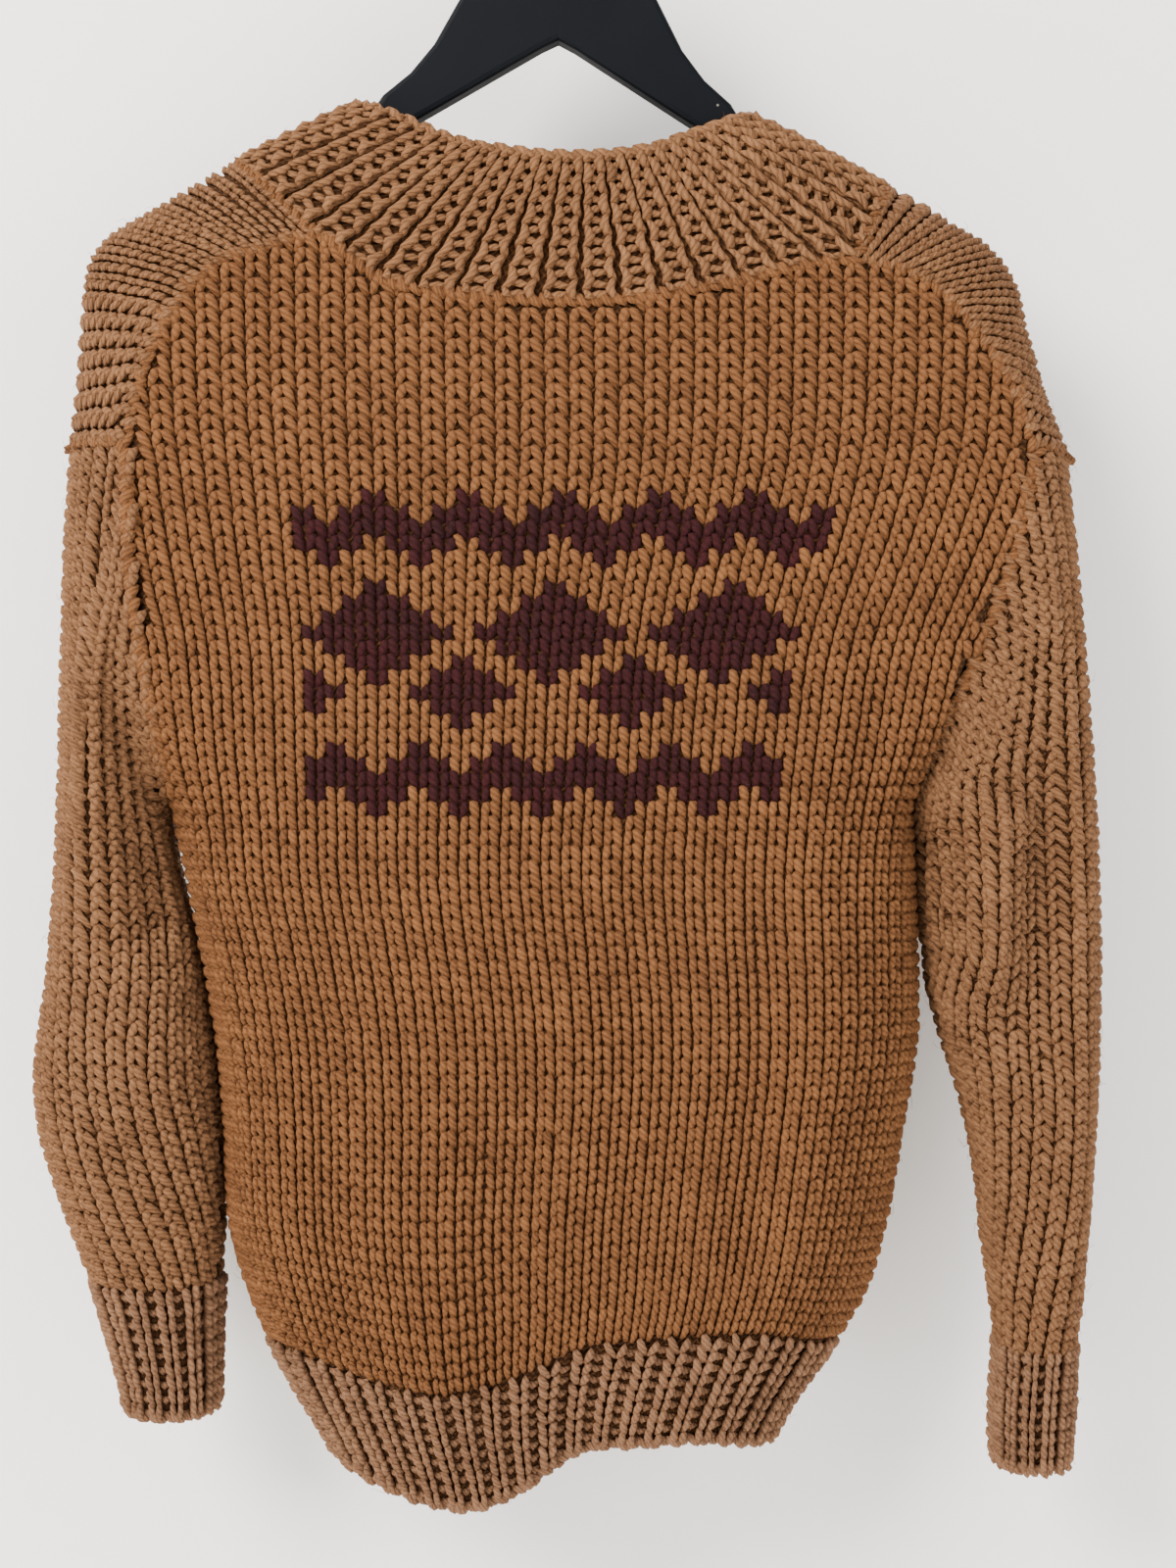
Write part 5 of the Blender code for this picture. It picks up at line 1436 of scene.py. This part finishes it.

# The hem band is a one-by-one rib knitted down from each panel: raised plain columns with
# hollow purl columns between them, and a cast-off edge of small links.
# The ribs' yarn is a paler, cooler copy of the camel wool: partly the ribs' own greyer tone, partly
# painted light for the cooler light at the garment's edges
paler_lit_rib_wool = wool("camel wool, ribs", (0.244, 0.124, 0.064), (0.068, 0.0295, 0.0136))
RIB_CREST = 1.6
RIB_WIDTH = 0.66
RIB_ROWS = 8
BACK_RIBS = 23
FRONT_RIBS = 11
LINK_PITCH = 5.4


def purl_bumps(centre, across, down, normal, width, depth=-1.4):
    """Small bumps that lie across a hollow column, each bowed down at its middle."""
    t = (LEAF_PLACES - 0.5)[None, :]
    count = len(centre)
    reach = t * 1.15 * np.broadcast_to(width, count)[:, None]
    bow = 1.5 * np.cos(math.pi * t) + rng.normal(0, 0.15, (count, 1))
    sink = depth - 1.9 - 1.3 * np.abs(2 * t)
    spine = centre[:, None] + across[:, None] * reach[..., None] + down[:, None] * bow[..., None]
    spine = spine + normal[:, None] * sink[..., None]
    size = 1 + rng.normal(0, 0.05, count)
    # The bumps' tone is set darker than the stitches', painted shade in the hollow columns.
    return leaves(spine, down, normal, 1.9 * size, 1.9 * size), rng.normal(-0.3, 0.4, count)


def rib_stitches(cloth, rows, columns, hollow_columns, widths):
    """Plain stitches on the raised columns and purl bumps in the hollow ones of a rib, from
    grid places (row of the rib, column of the rib). Returns leaves and tones."""
    groups, tones = [], []
    height = np.linalg.norm(cloth.at(rows + 0.5, columns) - cloth.at(rows - 0.5, columns), axis=-1)
    place = frame_on(cloth, rows.ravel(), columns.ravel())
    step = np.abs(np.gradient(rows, axis=0)) * height
    wide = (widths * RIB_WIDTH).ravel()
    made, tone = stitch_legs(*place, wide, step.ravel(), RIB_CREST)
    groups.append(made)
    tones.append(tone)
    place = frame_on(cloth, rows.ravel(), hollow_columns.ravel())
    made, tone = purl_bumps(*place, (widths * 0.5).ravel())
    return groups + [made], tones + [tone]


def hem_band(name, cloth, ribs, top, hem, node):
    """One panel's hem band: its web, its rib stitches and its edge of links."""
    steps = (np.arange(RIB_ROWS + 1) + 0.2) / (RIB_ROWS + 0.6)
    share = (np.arange(ribs) + 0.5) / ribs
    rows, columns, hollows = [], [], []
    for step in steps:
        drop = top(share) + (hem(share) - top(share)) * step
        first = np.interp(drop, LATTICE_DROPS, cloth.first_share)
        last = np.interp(drop, LATTICE_DROPS, cloth.last_share)
        row, column = body_spot(cloth, first + (last - first) * share, drop)
        hollow = body_spot(cloth, first + (last - first) * np.clip(share + 0.5 / ribs, 0, 0.995), drop)
        rows.append(row)
        columns.append(column)
        hollows.append(hollow[1])
    rows, columns, hollows = np.array(rows), np.array(columns), np.array(hollows)
    across = np.linalg.norm(cloth.at(rows, columns + 1) - cloth.at(rows, columns - 1), axis=-1) / 2
    widths = across * (cloth.points.shape[1] - 1) / ribs
    groups, tones = rib_stitches(cloth, rows, columns, hollows, widths)
    fine = np.linspace(0, 1, 4 * ribs + 1)
    steps = np.linspace(-0.1, 1, 9)[:, None]
    drop = top(fine)[None, :] + (hem(fine) - top(fine))[None, :] * steps
    row, column = body_spot(cloth, np.broadcast_to(fine, drop.shape), drop)
    uv = np.stack([column * 0.25, -drop / COURSE], axis=-1)
    web = web_shell(f"{name}_web", cloth, row, column, uv)
    edge_row, edge_column = row[-1], column[-1]
    edge = cloth.at(edge_row, edge_column)
    out = cloth.out(edge_row, edge_column)
    wave = RIB_CREST * np.cos(2 * math.pi * ribs * (fine + 0.5 / ribs))
    links = chain_links(edge + out * (wave - 2.4)[:, None], out, LINK_PITCH, 2.5, 2.3, 1.4)
    groups.append(links[0])
    tones.append(links[1])
    stitches = leaf_object(f"{name}_stitches", groups, paler_lit_rib_wool, tones)
    for piece in (web, stitches):
        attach(piece, "cardigan")
    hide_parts(node)


hem_band("back_hem", back_cloth, BACK_RIBS, back_rib, back_hem, "back_hem_rib")
for part, (top_table, hem_table, neck) in FRONTS.items():
    rib, hem = front_line(part, hem_table, 1), front_line(part, hem_table, 2)
    hem_band(f"{part}_front_hem", front_cloth[part], FRONT_RIBS, rib, hem, f"{part}_front_hem_rib")

# The cuffs are the same rib, fifteen columns round each wrist, knitted on from the sleeve.
CUFF_RIBS = 15
for part, (armhole, table, cuff, folds, outward) in SLEEVES.items():
    cloth = sleeve_cloth[part]
    count = cloth.points.shape[1]
    first_row, last_row = sleeve_row(cuff[0]), sleeve_row(cuff[1])
    steps = (np.arange(RIB_ROWS + 1) + 0.2) / (RIB_ROWS + 0.6)
    ribs = (np.arange(CUFF_RIBS) + 0.5) / CUFF_RIBS * count
    rows, columns = np.meshgrid(first_row + (last_row - first_row) * steps, ribs, indexing="ij")
    hollows = np.mod(columns + 0.5 / CUFF_RIBS * count, count)
    across = np.linalg.norm(cloth.at(rows, columns + 1) - cloth.at(rows, columns - 1), axis=-1) / 2
    groups, tones = rib_stitches(cloth, rows, columns, hollows, across * count / CUFF_RIBS)
    places = np.arange(0, count, 2)
    web_rows, web_columns = np.meshgrid(np.linspace(first_row - 1, last_row, 9), places, indexing="ij")
    uv = np.stack([web_columns * 0.25, web_rows * 0.6], axis=-1)
    web = web_shell(f"{part}_cuff_web", cloth, web_rows, web_columns, uv, closed=True)
    around = np.append(places, count - 0.01)
    edge = cloth.at(np.full(len(around), last_row), around)
    out = cloth.out(np.full(len(around), last_row), around)
    wave = RIB_CREST * np.cos(2 * math.pi * CUFF_RIBS * around / count + math.pi)
    links = chain_links(edge + out * (wave - 2.4)[:, None], out, LINK_PITCH, 2.5, 2.3, 1.4)
    stitches = leaf_object(f"{part}_cuff_stitches", groups + [links[0]], paler_lit_rib_wool, tones + [links[1]])
    for piece in (web, stitches):
        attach(piece, "cardigan")
    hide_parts(f"{part}_cuff")

# The seams: every edge is sewn to its neighbour with the same yarn. The sewing shows as a line
# of small slanted links down in the join.
SEAM_PITCH = 6.4
NECK_PITCH = 5.6


def edge_run(cloth, column, first_row, last_row):
    """Points and normals down a grid's column, one to every three rows."""
    rows = np.arange(first_row, last_row, 3.0)
    columns = np.full(len(rows), float(column))
    return cloth.at(rows, columns), cloth.out(rows, columns)


def loop_run(armhole):
    """Points round an armhole seam, with directions straight away from its middle, mostly to
    the back or front."""
    points = armhole_at(armhole, np.linspace(0, LOOP_KNOTS, 120))
    away = (points - points.mean(axis=0)) * np.array((0.0, 3.0, 0.35))
    return points, unit(away)


# Lines to sew: points, outward ways, pitch, half width, half depth, slant
seam_lines = []
for armhole in (LEFT_ARMHOLE, RIGHT_ARMHOLE):
    points, outs = loop_run(armhole)
    seam_lines.append((points - outs * 3.1, outs, SEAM_PITCH, 3.4, 2.4, 1.5))
for cloth, _, _ in strips.values():
    for column in (0, STRIP_COLUMNS - 1):
        points, outs = edge_run(cloth, column, 0, STRIP_ROWS - 1)
        seam_lines.append((points - outs * 2.6, outs, SEAM_PITCH, 2.8, 2.3, 1.5))
neck_out = unit(along_line(collar_cloth.normals[0], collar_at, neck_places))
seam_lines.append((neck_line - neck_out * 2.2, neck_out, NECK_PITCH, 3.0, 2.5, 1.8))
underarm_row = (UNDERARM_DROP - LATTICE_TOP) / LATTICE_STEP
for column, share in ((0, 0.0), (back_cloth.points.shape[1] - 1, 1.0)):
    last = (float(back_hem(np.array([share]))[0]) - LATTICE_TOP) / LATTICE_STEP
    points, outs = edge_run(back_cloth, column, underarm_row, last)
    sideways = np.array((-1.0 if column == 0 else 1.0, 0.0, 0.0))
    ways = unit(outs + sideways)
    seam_lines.append((points - sideways * 3.0, ways, SEAM_PITCH, 3.4, 2.4, 1.2))
sewn = [chain_links(*line) for line in seam_lines]
seam_groups, seam_tones = zip(*sewn)
seam_links = leaf_object("seam_links", seam_groups, camel_wool, seam_tones)
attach(seam_links, "cardigan")

# The fronts' straight edges beside the zip are a column of firm edge links.
edge_groups, edge_tones = [], []
for part, (top_table, hem_table, neck) in FRONTS.items():
    cloth = front_cloth[part]
    share = 1.0 if part == "left" else 0.0
    first = float(front_line(part, top_table, 1)(np.array([share]))[0])
    last = float(front_line(part, hem_table, 2)(np.array([share]))[0])
    column = share * (cloth.points.shape[1] - 1)
    rows = [(drop - LATTICE_TOP) / LATTICE_STEP for drop in (first, last)]
    points, outs = edge_run(cloth, column, *rows)
    inward_x = np.array((-1.0 if part == "left" else 1.0, 0.0, 0.0))
    made, tones = chain_links(points - outs * 2.6 + inward_x * 1.6, outs, 6.8, 2.4, 2.4, 1.2)
    edge_groups.append(made)
    edge_tones.append(tones)
front_edges = leaf_object("front_edge_links", edge_groups, camel_wool, edge_tones)
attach(front_edges, "cardigan")

# The zip is an open-ended metal zip: two woven brown tapes sewn behind the fronts' edges with
# a row of thread, brass teeth clamped on the tapes, a slider near the top and a stop below.
TOOTH_PITCH = 1.5
TOOTH_SIZE = (2.9, 1.5, 0.85)
TOOTH_LEAN = 0.62
TOOTH_TOP = 296.0
TOOTH_END = 790.0
THREAD_X = 3.9
THREAD_PITCH = 3.4


def metal(name, colour, roughness):
    """Cast metal: fine scratches and a little tarnish vary the colour and the roughness."""
    made, tree, shader = new_material(name)
    space = put(tree, "ShaderNodeTexCoord").outputs["Object"]
    scratches = noise_in(tree, space, 900.0, 4.0)
    dull = tuple(0.62 * part for part in colour)
    tree.links.new(mixed(tree, scratches, (*dull, 1), (*colour, 1)), shader.inputs["Base Color"])
    rough = weighted(tree, ((scratches, 0.25),), roughness)
    tree.links.new(rough, shader.inputs["Roughness"])
    shader.inputs["Metallic"].default_value = 1.0
    return made


brass = metal("brass", (0.62, 0.42, 0.16), 0.22)
for node in ("zip_slider", "zip_pull_tab", "zip_bottom_stop"):
    for place in bpy.data.objects[node].material_slots:
        place.material = brass

tape_cloth, tape_tree, tape_shader = new_material("zip tape")
tape_space = put(tape_tree, "ShaderNodeTexCoord").outputs["Object"]
tape_axes = put(tape_tree, "ShaderNodeSeparateXYZ", {0: tape_space})
slant = sums(tape_tree, "ADD", tape_axes.outputs[0], tape_axes.outputs[2])
weave = sums(tape_tree, "SINE", sums(tape_tree, "MULTIPLY", slant, 7000.0))
weave = weighted(tape_tree, ((weave, 0.5),), 0.5)
# The weave's grooves are painted darker than its ridges, as painted shade.
tape_weave_shade = mixed(tape_tree, weave, (0.075, 0.036, 0.016, 1), (0.16, 0.08, 0.036, 1))
tape_relief = put(tape_tree, "ShaderNodeBump", {"Height": weave, "Distance": 0.00015})
tape_tree.links.new(tape_weave_shade, tape_shader.inputs["Base Color"])
tape_tree.links.new(tape_relief.outputs[0], tape_shader.inputs["Normal"])
tape_shader.inputs["Roughness"].default_value = 0.85
for node in ("left_zip_tape", "right_zip_tape"):
    for place in bpy.data.objects[node].material_slots:
        place.material = tape_cloth


def tape_face(drops):
    """Depth of the tapes' outer face at drops, read from the left tape's own corners."""
    mesh = bpy.data.objects["left_zip_tape"].data
    points = np.empty(len(mesh.vertices) * 3, np.float32)
    mesh.vertices.foreach_get("co", points)
    points = points.reshape(-1, 3) / MM
    levels = np.unique(np.round(-points[:, 2], 1))
    depth = [points[np.abs(-points[:, 2] - level) < 0.3, 1].max() for level in levels]
    return np.interp(drops, levels, depth)


def blocks(centres, sizes):
    """Points and faces of many upright boxes."""
    signs = np.array([(x, y, z) for x in (-1, 1) for y in (-1, 1) for z in (-1, 1)]) / 2
    points = centres[:, None] + signs[None] * np.asarray(sizes)[None, None]
    quads = np.array(
        ((0, 1, 3, 2), (4, 6, 7, 5), (0, 4, 5, 1), (2, 3, 7, 6), (0, 2, 6, 4), (1, 5, 7, 3))
    )
    faces = quads[None] + (np.arange(len(centres)) * 8)[:, None, None]
    return points.reshape(-1, 3), faces.reshape(-1, 4)


tooth_drops = np.arange(TOOTH_TOP, TOOTH_END, TOOTH_PITCH)
centres = []
for side, shift in ((-1, 0.0), (1, TOOTH_PITCH / 2)):
    drops = tooth_drops + shift
    x = np.full(len(drops), side * TOOTH_LEAN)
    centres.append(np.stack([x, tape_face(drops) - 0.35, -drops], axis=1))
points, faces = blocks(np.concatenate(centres), TOOTH_SIZE)
teeth = link_mesh("zip_teeth", points, [faces], brass)
teeth.data.polygons.foreach_set("use_smooth", np.zeros(len(faces), bool))
teeth.data.update()

thread_drops = np.arange(TOOTH_TOP, TOOTH_END, THREAD_PITCH)
spines = []
for side in (-1, 1):
    x = np.full(len(thread_drops), side * THREAD_X)
    middle = np.stack([x, tape_face(thread_drops), -thread_drops], axis=1)
    reach = np.stack([0 * LEAF_PLACES, 0.2 - 0.9 * (2 * LEAF_PLACES - 1) ** 2, 1.2 - 2.4 * LEAF_PLACES], 1)
    spines.append(middle[:, None] + reach[None])
spines = np.concatenate(spines)
flat = np.broadcast_to(np.array((1.0, 0, 0)), (len(spines), 3))
proud = np.broadcast_to(np.array((0, 1.0, 0)), (len(spines), 3))
thread_leaves = leaves(spines, flat, proud, np.full(len(spines), 0.32), np.full(len(spines), 0.3))
zip_thread = leaf_object("zip_thread", [thread_leaves], tape_cloth, [np.zeros(len(spines))])
for piece, look in ((teeth, "zip_metal"), (zip_thread, "zip_tape")):
    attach(piece, "cardigan")

# The hanger is a flat board sawn to shape, painted black with a satin finish, and lightly
# chipped. Its hook is bent steel wire screwed into the top.
black_paint, black_tree, black_shader = new_material("black satin paint")
black_space = put(black_tree, "ShaderNodeTexCoord").outputs["Object"]
chips = put(black_tree, "ShaderNodeTexVoronoi", {"Vector": black_space, "Scale": 62.0})
chip_spot = sums(black_tree, "LESS_THAN", chips.outputs["Distance"], 0.045)
cloudy = noise_in(black_tree, black_space, 24.0, 5.0)
rubbed = mixed(black_tree, cloudy, (0.0022, 0.0027, 0.0042, 1), (0.0036, 0.0045, 0.0064, 1))
black_tint = mixed(black_tree, chip_spot, rubbed, (0.16, 0.15, 0.12, 1))
black_tree.links.new(black_tint, black_shader.inputs["Base Color"])
black_rough = weighted(black_tree, ((cloudy, 0.25),), 0.42)
black_tree.links.new(black_rough, black_shader.inputs["Roughness"])
black_relief = put(black_tree, "ShaderNodeBump", {"Height": cloudy, "Distance": 0.0003})
black_tree.links.new(black_relief.outputs[0], black_shader.inputs["Normal"])
black_shader.inputs["Specular IOR Level"].default_value = 0.07
for place in bpy.data.objects["hanger"].material_slots:
    place.material = black_paint

HOOK_RADIUS = 20.0
HOOK_WIRE = 1.75
HOOK_TILT = 1.5
HOOK_ENDS = (195.0, -57.0)
# Stem of the hook under its loop: x, drop
HOOK_STEM = (
    (7.0, 39.5),
    (2.0, 43.5),
    (0.0, 48.0),
    (0.0, 54.0),
    (0.0, 59.4),
)


def wire(name, line, radius, material, sides=16):
    """A round wire along a flat path in the XZ plane, with a rounded tip at each end."""
    line = np.asarray(line, float)
    run = unit(np.gradient(line, axis=0))
    across = np.stack([run[:, 2], 0 * run[:, 0], -run[:, 0]], axis=1)
    turn = np.arange(sides) / sides * 2 * math.pi
    tip = np.array((0.0, 0.45, 0.8, 1.0))
    girth = np.sqrt(1 - (1 - tip) ** 2) * radius
    centres = [line[0] - run[0] * radius * (1 - t) for t in tip]
    centres += list(line[1:-1]) + [line[-1] + run[-1] * radius * (1 - t) for t in tip[::-1]]
    sizes = np.concatenate([girth, np.full(len(line) - 2, radius), girth[::-1]])
    sizes = np.maximum(sizes, 0.01)
    ways = np.concatenate([np.repeat(across[:1], 4, 0), across[1:-1], np.repeat(across[-1:], 4, 0)])
    centres = np.array(centres)
    ring = ways[:, None] * np.cos(turn)[None, :, None]
    ring = ring + np.array((0.0, 1.0, 0.0))[None, None] * np.sin(turn)[None, :, None]
    points = centres[:, None] + ring * sizes[:, None, None]
    count = len(centres)
    r, c = np.meshgrid(np.arange(count - 1), np.arange(sides), indexing="ij")
    r, c = r.ravel(), c.ravel()
    after = (c + 1) % sides
    quads = np.stack([r * sides + c, r * sides + after, (r + 1) * sides + after, (r + 1) * sides + c], 1)
    first, last = np.arange(sides)[None, ::-1], ((count - 1) * sides + np.arange(sides))[None]
    made = link_mesh(name, points.reshape(-1, 3), [quads, first, last], material)
    face_out(made)
    return made


steel = metal("steel", (0.56, 0.56, 0.55), 0.16)
hook_turn = np.radians(np.linspace(*HOOK_ENDS, 64))
hook_x = HOOK_RADIUS * np.cos(hook_turn)
hook_drop = HOOK_RADIUS - HOOK_WIRE - HOOK_RADIUS * np.sin(hook_turn)
stem = np.array(HOOK_STEM)
stem_at = np.linspace(0, len(stem) - 1, 22)
stem_x = curve_through(np.column_stack([np.arange(len(stem)), stem]), 1, stem_at)
stem_drop = curve_through(np.column_stack([np.arange(len(stem)), stem]), 2, stem_at)
hook_x, hook_drop = np.append(hook_x, stem_x), np.append(hook_drop, stem_drop)
lean = math.radians(HOOK_TILT)
tilted_x = hook_x * math.cos(lean) - hook_drop * math.sin(lean)
tilted_drop = hook_drop * math.cos(lean) + hook_x * math.sin(lean)
hook_line = np.stack([tilted_x, 0 * tilted_x, -tilted_drop], axis=1)
hook = wire("hanger_hook_wire", hook_line, HOOK_WIRE, steel)
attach(hook, "cardigan")
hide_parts("hanger_hook")

# Loose fibres stand out of the yarn all over, short and curled, and catch the light along
# the edges.
FUZZ_SHARE = 0.085
FUZZ_LONG = (3.5, 9.0)
FUZZ_THICK = 0.10


def fuzz(name, pieces, share, material):
    """Thin three-sided fibres rooted on top of random stitches: each bends away from the yarn
    along a random quarter turn."""
    roots, ways = [], []
    size = LEAF_SIDES * 3 + 2
    for piece in pieces:
        mesh = piece.data
        points = np.empty(len(mesh.vertices) * 3, np.float32)
        mesh.vertices.foreach_get("co", points)
        stitches = points.reshape(-1, size, 3).astype(float) / MM
        ring = stitches[:, 1 + LEAF_SIDES : 1 + 2 * LEAF_SIDES]
        picked = rng.random(len(stitches)) < share
        middle = ring.mean(axis=1)
        roots.append((middle * 0.15 + ring[:, 0] * 0.85)[picked])
        ways.append(unit(ring[:, 0] - middle)[picked])
    root, way = np.concatenate(roots), np.concatenate(ways)
    count = len(root)
    side = unit(np.cross(way, rng.normal(0, 1, (count, 3))))
    other = unit(np.cross(way, side))
    long = rng.uniform(*FUZZ_LONG, count)[:, None]
    curl = rng.uniform(0.3, 1.4, (count, 1))
    rise = rng.uniform(0.25, 1.0, (count, 1))
    rings = []
    for t, thick in ((0.0, 1.0), (0.35, 0.85), (0.7, 0.6), (1.0, 0.2)):
        angle = curl * t * math.pi / 2
        spot = root + way * long * rise * 0.55 * np.sin(angle + 0.25 * t)
        spot = spot + side * long * (0.25 * t + 0.6 * t * t) + other * long * 0.25 * np.sin(5 * t)
        for corner in range(3):
            turn = corner * 2 * math.pi / 3
            offset = other * math.cos(turn) + way * math.sin(turn)
            rings.append(spot + offset * FUZZ_THICK * thick)
    points = np.stack(rings, axis=1)
    quads = []
    for ring in range(3):
        for corner in range(3):
            a, b = ring * 3 + corner, ring * 3 + (corner + 1) % 3
            quads.append((a, b, b + 3, a + 3))
    shift = (np.arange(count) * 12)[:, None, None]
    faces = (np.array(quads)[None] + shift).reshape(-1, 4)
    ends = (np.array(((0, 2, 1), (9, 10, 11)))[None] + shift).reshape(-1, 3)
    corners = len(faces) * 4 + len(ends) * 3
    # The fibres' tone is set lighter than the yarn's, a painted highlight for the light that they catch.
    tones = rng.normal(0.3, 0.4, count * 12)
    made = link_mesh(name, points.reshape(-1, 3), [faces, ends], material, np.zeros((corners, 2)), tones)
    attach(made, "cardigan")


STITCHED = ("back", "left_front", "right_front", "left_sleeve", "right_sleeve", "left_strip")
STITCHED += ("right_strip", "collar", "back_hem", "left_cuff", "right_cuff")
fuzz("camel_fuzz", [bpy.data.objects[f"{name}_stitches"] for name in STITCHED], FUZZ_SHARE, camel_wool)
fuzz("burgundy_fuzz", [bpy.data.objects["back_pattern_stitches"]], FUZZ_SHARE, burgundy_wool)

# Each panel was knitted flat, or round for the sleeves and cuffs, and hangs from the hanger:
# panel, width, length and flat area as knitted, in metres, and the pieces worked on it.
CUT = (
    ("back", 0.428, 0.545, 0.195, ("back_stitches", "back_pattern_stitches", "seam_links")),
    ("left_front", 0.202, 0.530, 0.0868, ("left_front_stitches",)),
    ("right_front", 0.216, 0.530, 0.0863, ("right_front_stitches", "front_edge_links")),
    ("left_sleeve", 0.492, 0.414, 0.0742, ("left_sleeve_stitches",)),
    ("right_sleeve", 0.486, 0.438, 0.0838, ("right_sleeve_stitches",)),
    ("left_strip", 0.168, 0.175, 0.0206, ("left_strip_stitches",)),
    ("right_strip", 0.146, 0.164, 0.0162, ("right_strip_stitches",)),
    ("collar", 0.971, 0.073, 0.0533, ("collar_stitches",)),
    ("back_hem", 0.340, 0.052, 0.0170, ("back_hem_stitches",)),
    ("left_front_hem", 0.162, 0.052, 0.0078, ("left_front_hem_stitches",)),
    ("right_front_hem", 0.151, 0.050, 0.0069, ("right_front_hem_stitches",)),
    ("left_cuff", 0.208, 0.060, 0.0099, ("left_cuff_stitches",)),
    ("right_cuff", 0.161, 0.055, 0.0075, ("right_cuff_stitches",)),
)
for name, wide, long, area, worked in CUT:
    web = bpy.data.objects[f"{name}_web"]

# The stage: a plain pale wall just behind the garment, a floor below, soft light, and the
# camera level with the middle of the garment, 1.1 m in front of its back
stage_paint, paint, paint_shader = new_material("pale paint")
paint_shader.inputs["Base Color"].default_value = (0.97, 0.955, 0.93, 1)
paint_shader.inputs["Roughness"].default_value = 0.9
clear = put(paint, "ShaderNodeBsdfTransparent")
facing = put(paint, "ShaderNodeNewGeometry")
ray = put(paint, "ShaderNodeLightPath")
open_way = sums(paint, "MAXIMUM", facing.outputs["Backfacing"], ray.outputs["Is Shadow Ray"])
one_way = put(
    paint,
    "ShaderNodeMixShader",
    {0: open_way, 1: paint_shader.outputs[0], 2: clear.outputs[0]},
)
paint.links.new(one_way.outputs[0], paint.nodes["Material Output"].inputs["Surface"])
WALL_Y = 78.0
FLOOR_DROP = 1000.0
STAGE_HALF = 3000.0
WALL_TOP = 2000.0


def stage_sheet(name, ends):
    """A flat sheet as wide as the stage, between two level lines, each a y and a z."""
    (y0, z0), (y1, z1) = ends
    corners = [(-STAGE_HALF, y0, z0), (STAGE_HALF, y0, z0)]
    corners += [(STAGE_HALF, y1, z1), (-STAGE_HALF, y1, z1)]
    return link_mesh(name, np.array(corners), [np.array([[0, 1, 2, 3]])], stage_paint)


wall = stage_sheet("wall", ((WALL_Y, -FLOOR_DROP), (WALL_Y, WALL_TOP)))
floor = stage_sheet("floor", ((-STAGE_HALF, -FLOOR_DROP), (STAGE_HALF, -FLOOR_DROP)))

world = bpy.data.worlds.new("studio")
world.use_nodes = True
world.node_tree.nodes["Background"].inputs[0].default_value = (1.0, 0.985, 0.96, 1)
world.node_tree.nodes["Background"].inputs[1].default_value = 0.92
bpy.context.scene.world = world

# Soft lights: name, place, aim, size, power, colour
LIGHTS = (
    ("window", (-1.35, -1.6, 0.75), (0.0, 0.0, -0.45), 1.3, 128.0, (1.0, 0.97, 0.93)),
    ("far_side", (1.5, -1.5, -0.1), (0.0, 0.0, -0.5), 1.4, 27.0, (0.92, 0.96, 1.0)),
    ("behind", (0.3, 1.9, 0.7), (0.0, 0.0, -0.5), 1.8, 52.0, (1.0, 0.98, 0.95)),
)


def aimed(obj, place, target):
    """Puts a light or the camera at a place, turned to look at a target."""
    away = np.subtract(place, target)
    level = math.hypot(away[0], away[1])
    obj.location = place
    obj.rotation_euler = (math.atan2(level, away[2]), 0, math.atan2(away[0], -away[1]))


for name, place, target, size, power, colour in LIGHTS:
    lamp = bpy.data.lights.new(name, "AREA")
    lamp.shape = "DISK"
    lamp.size = size
    lamp.energy = power
    lamp.color = colour
    lamp_object = bpy.data.objects.new(name, lamp)
    bpy.context.scene.collection.objects.link(lamp_object)
    aimed(lamp_object, place, target)

CAMERA_AWAY = 1.1
CAMERA_AT = (0.0109, -0.487)
SENSOR = 36.0
FRAME_TALL = 0.76
camera_data = bpy.data.cameras.new("photo_camera")
camera_data.sensor_width = SENSOR
camera_data.lens = SENSOR * CAMERA_AWAY / FRAME_TALL
camera = bpy.data.objects.new("photo_camera", camera_data)
bpy.context.scene.collection.objects.link(camera)
camera.location = (CAMERA_AT[0], -CAMERA_AWAY, CAMERA_AT[1])
camera.rotation_euler = (math.pi / 2, 0, 0)
bpy.context.scene.camera = camera
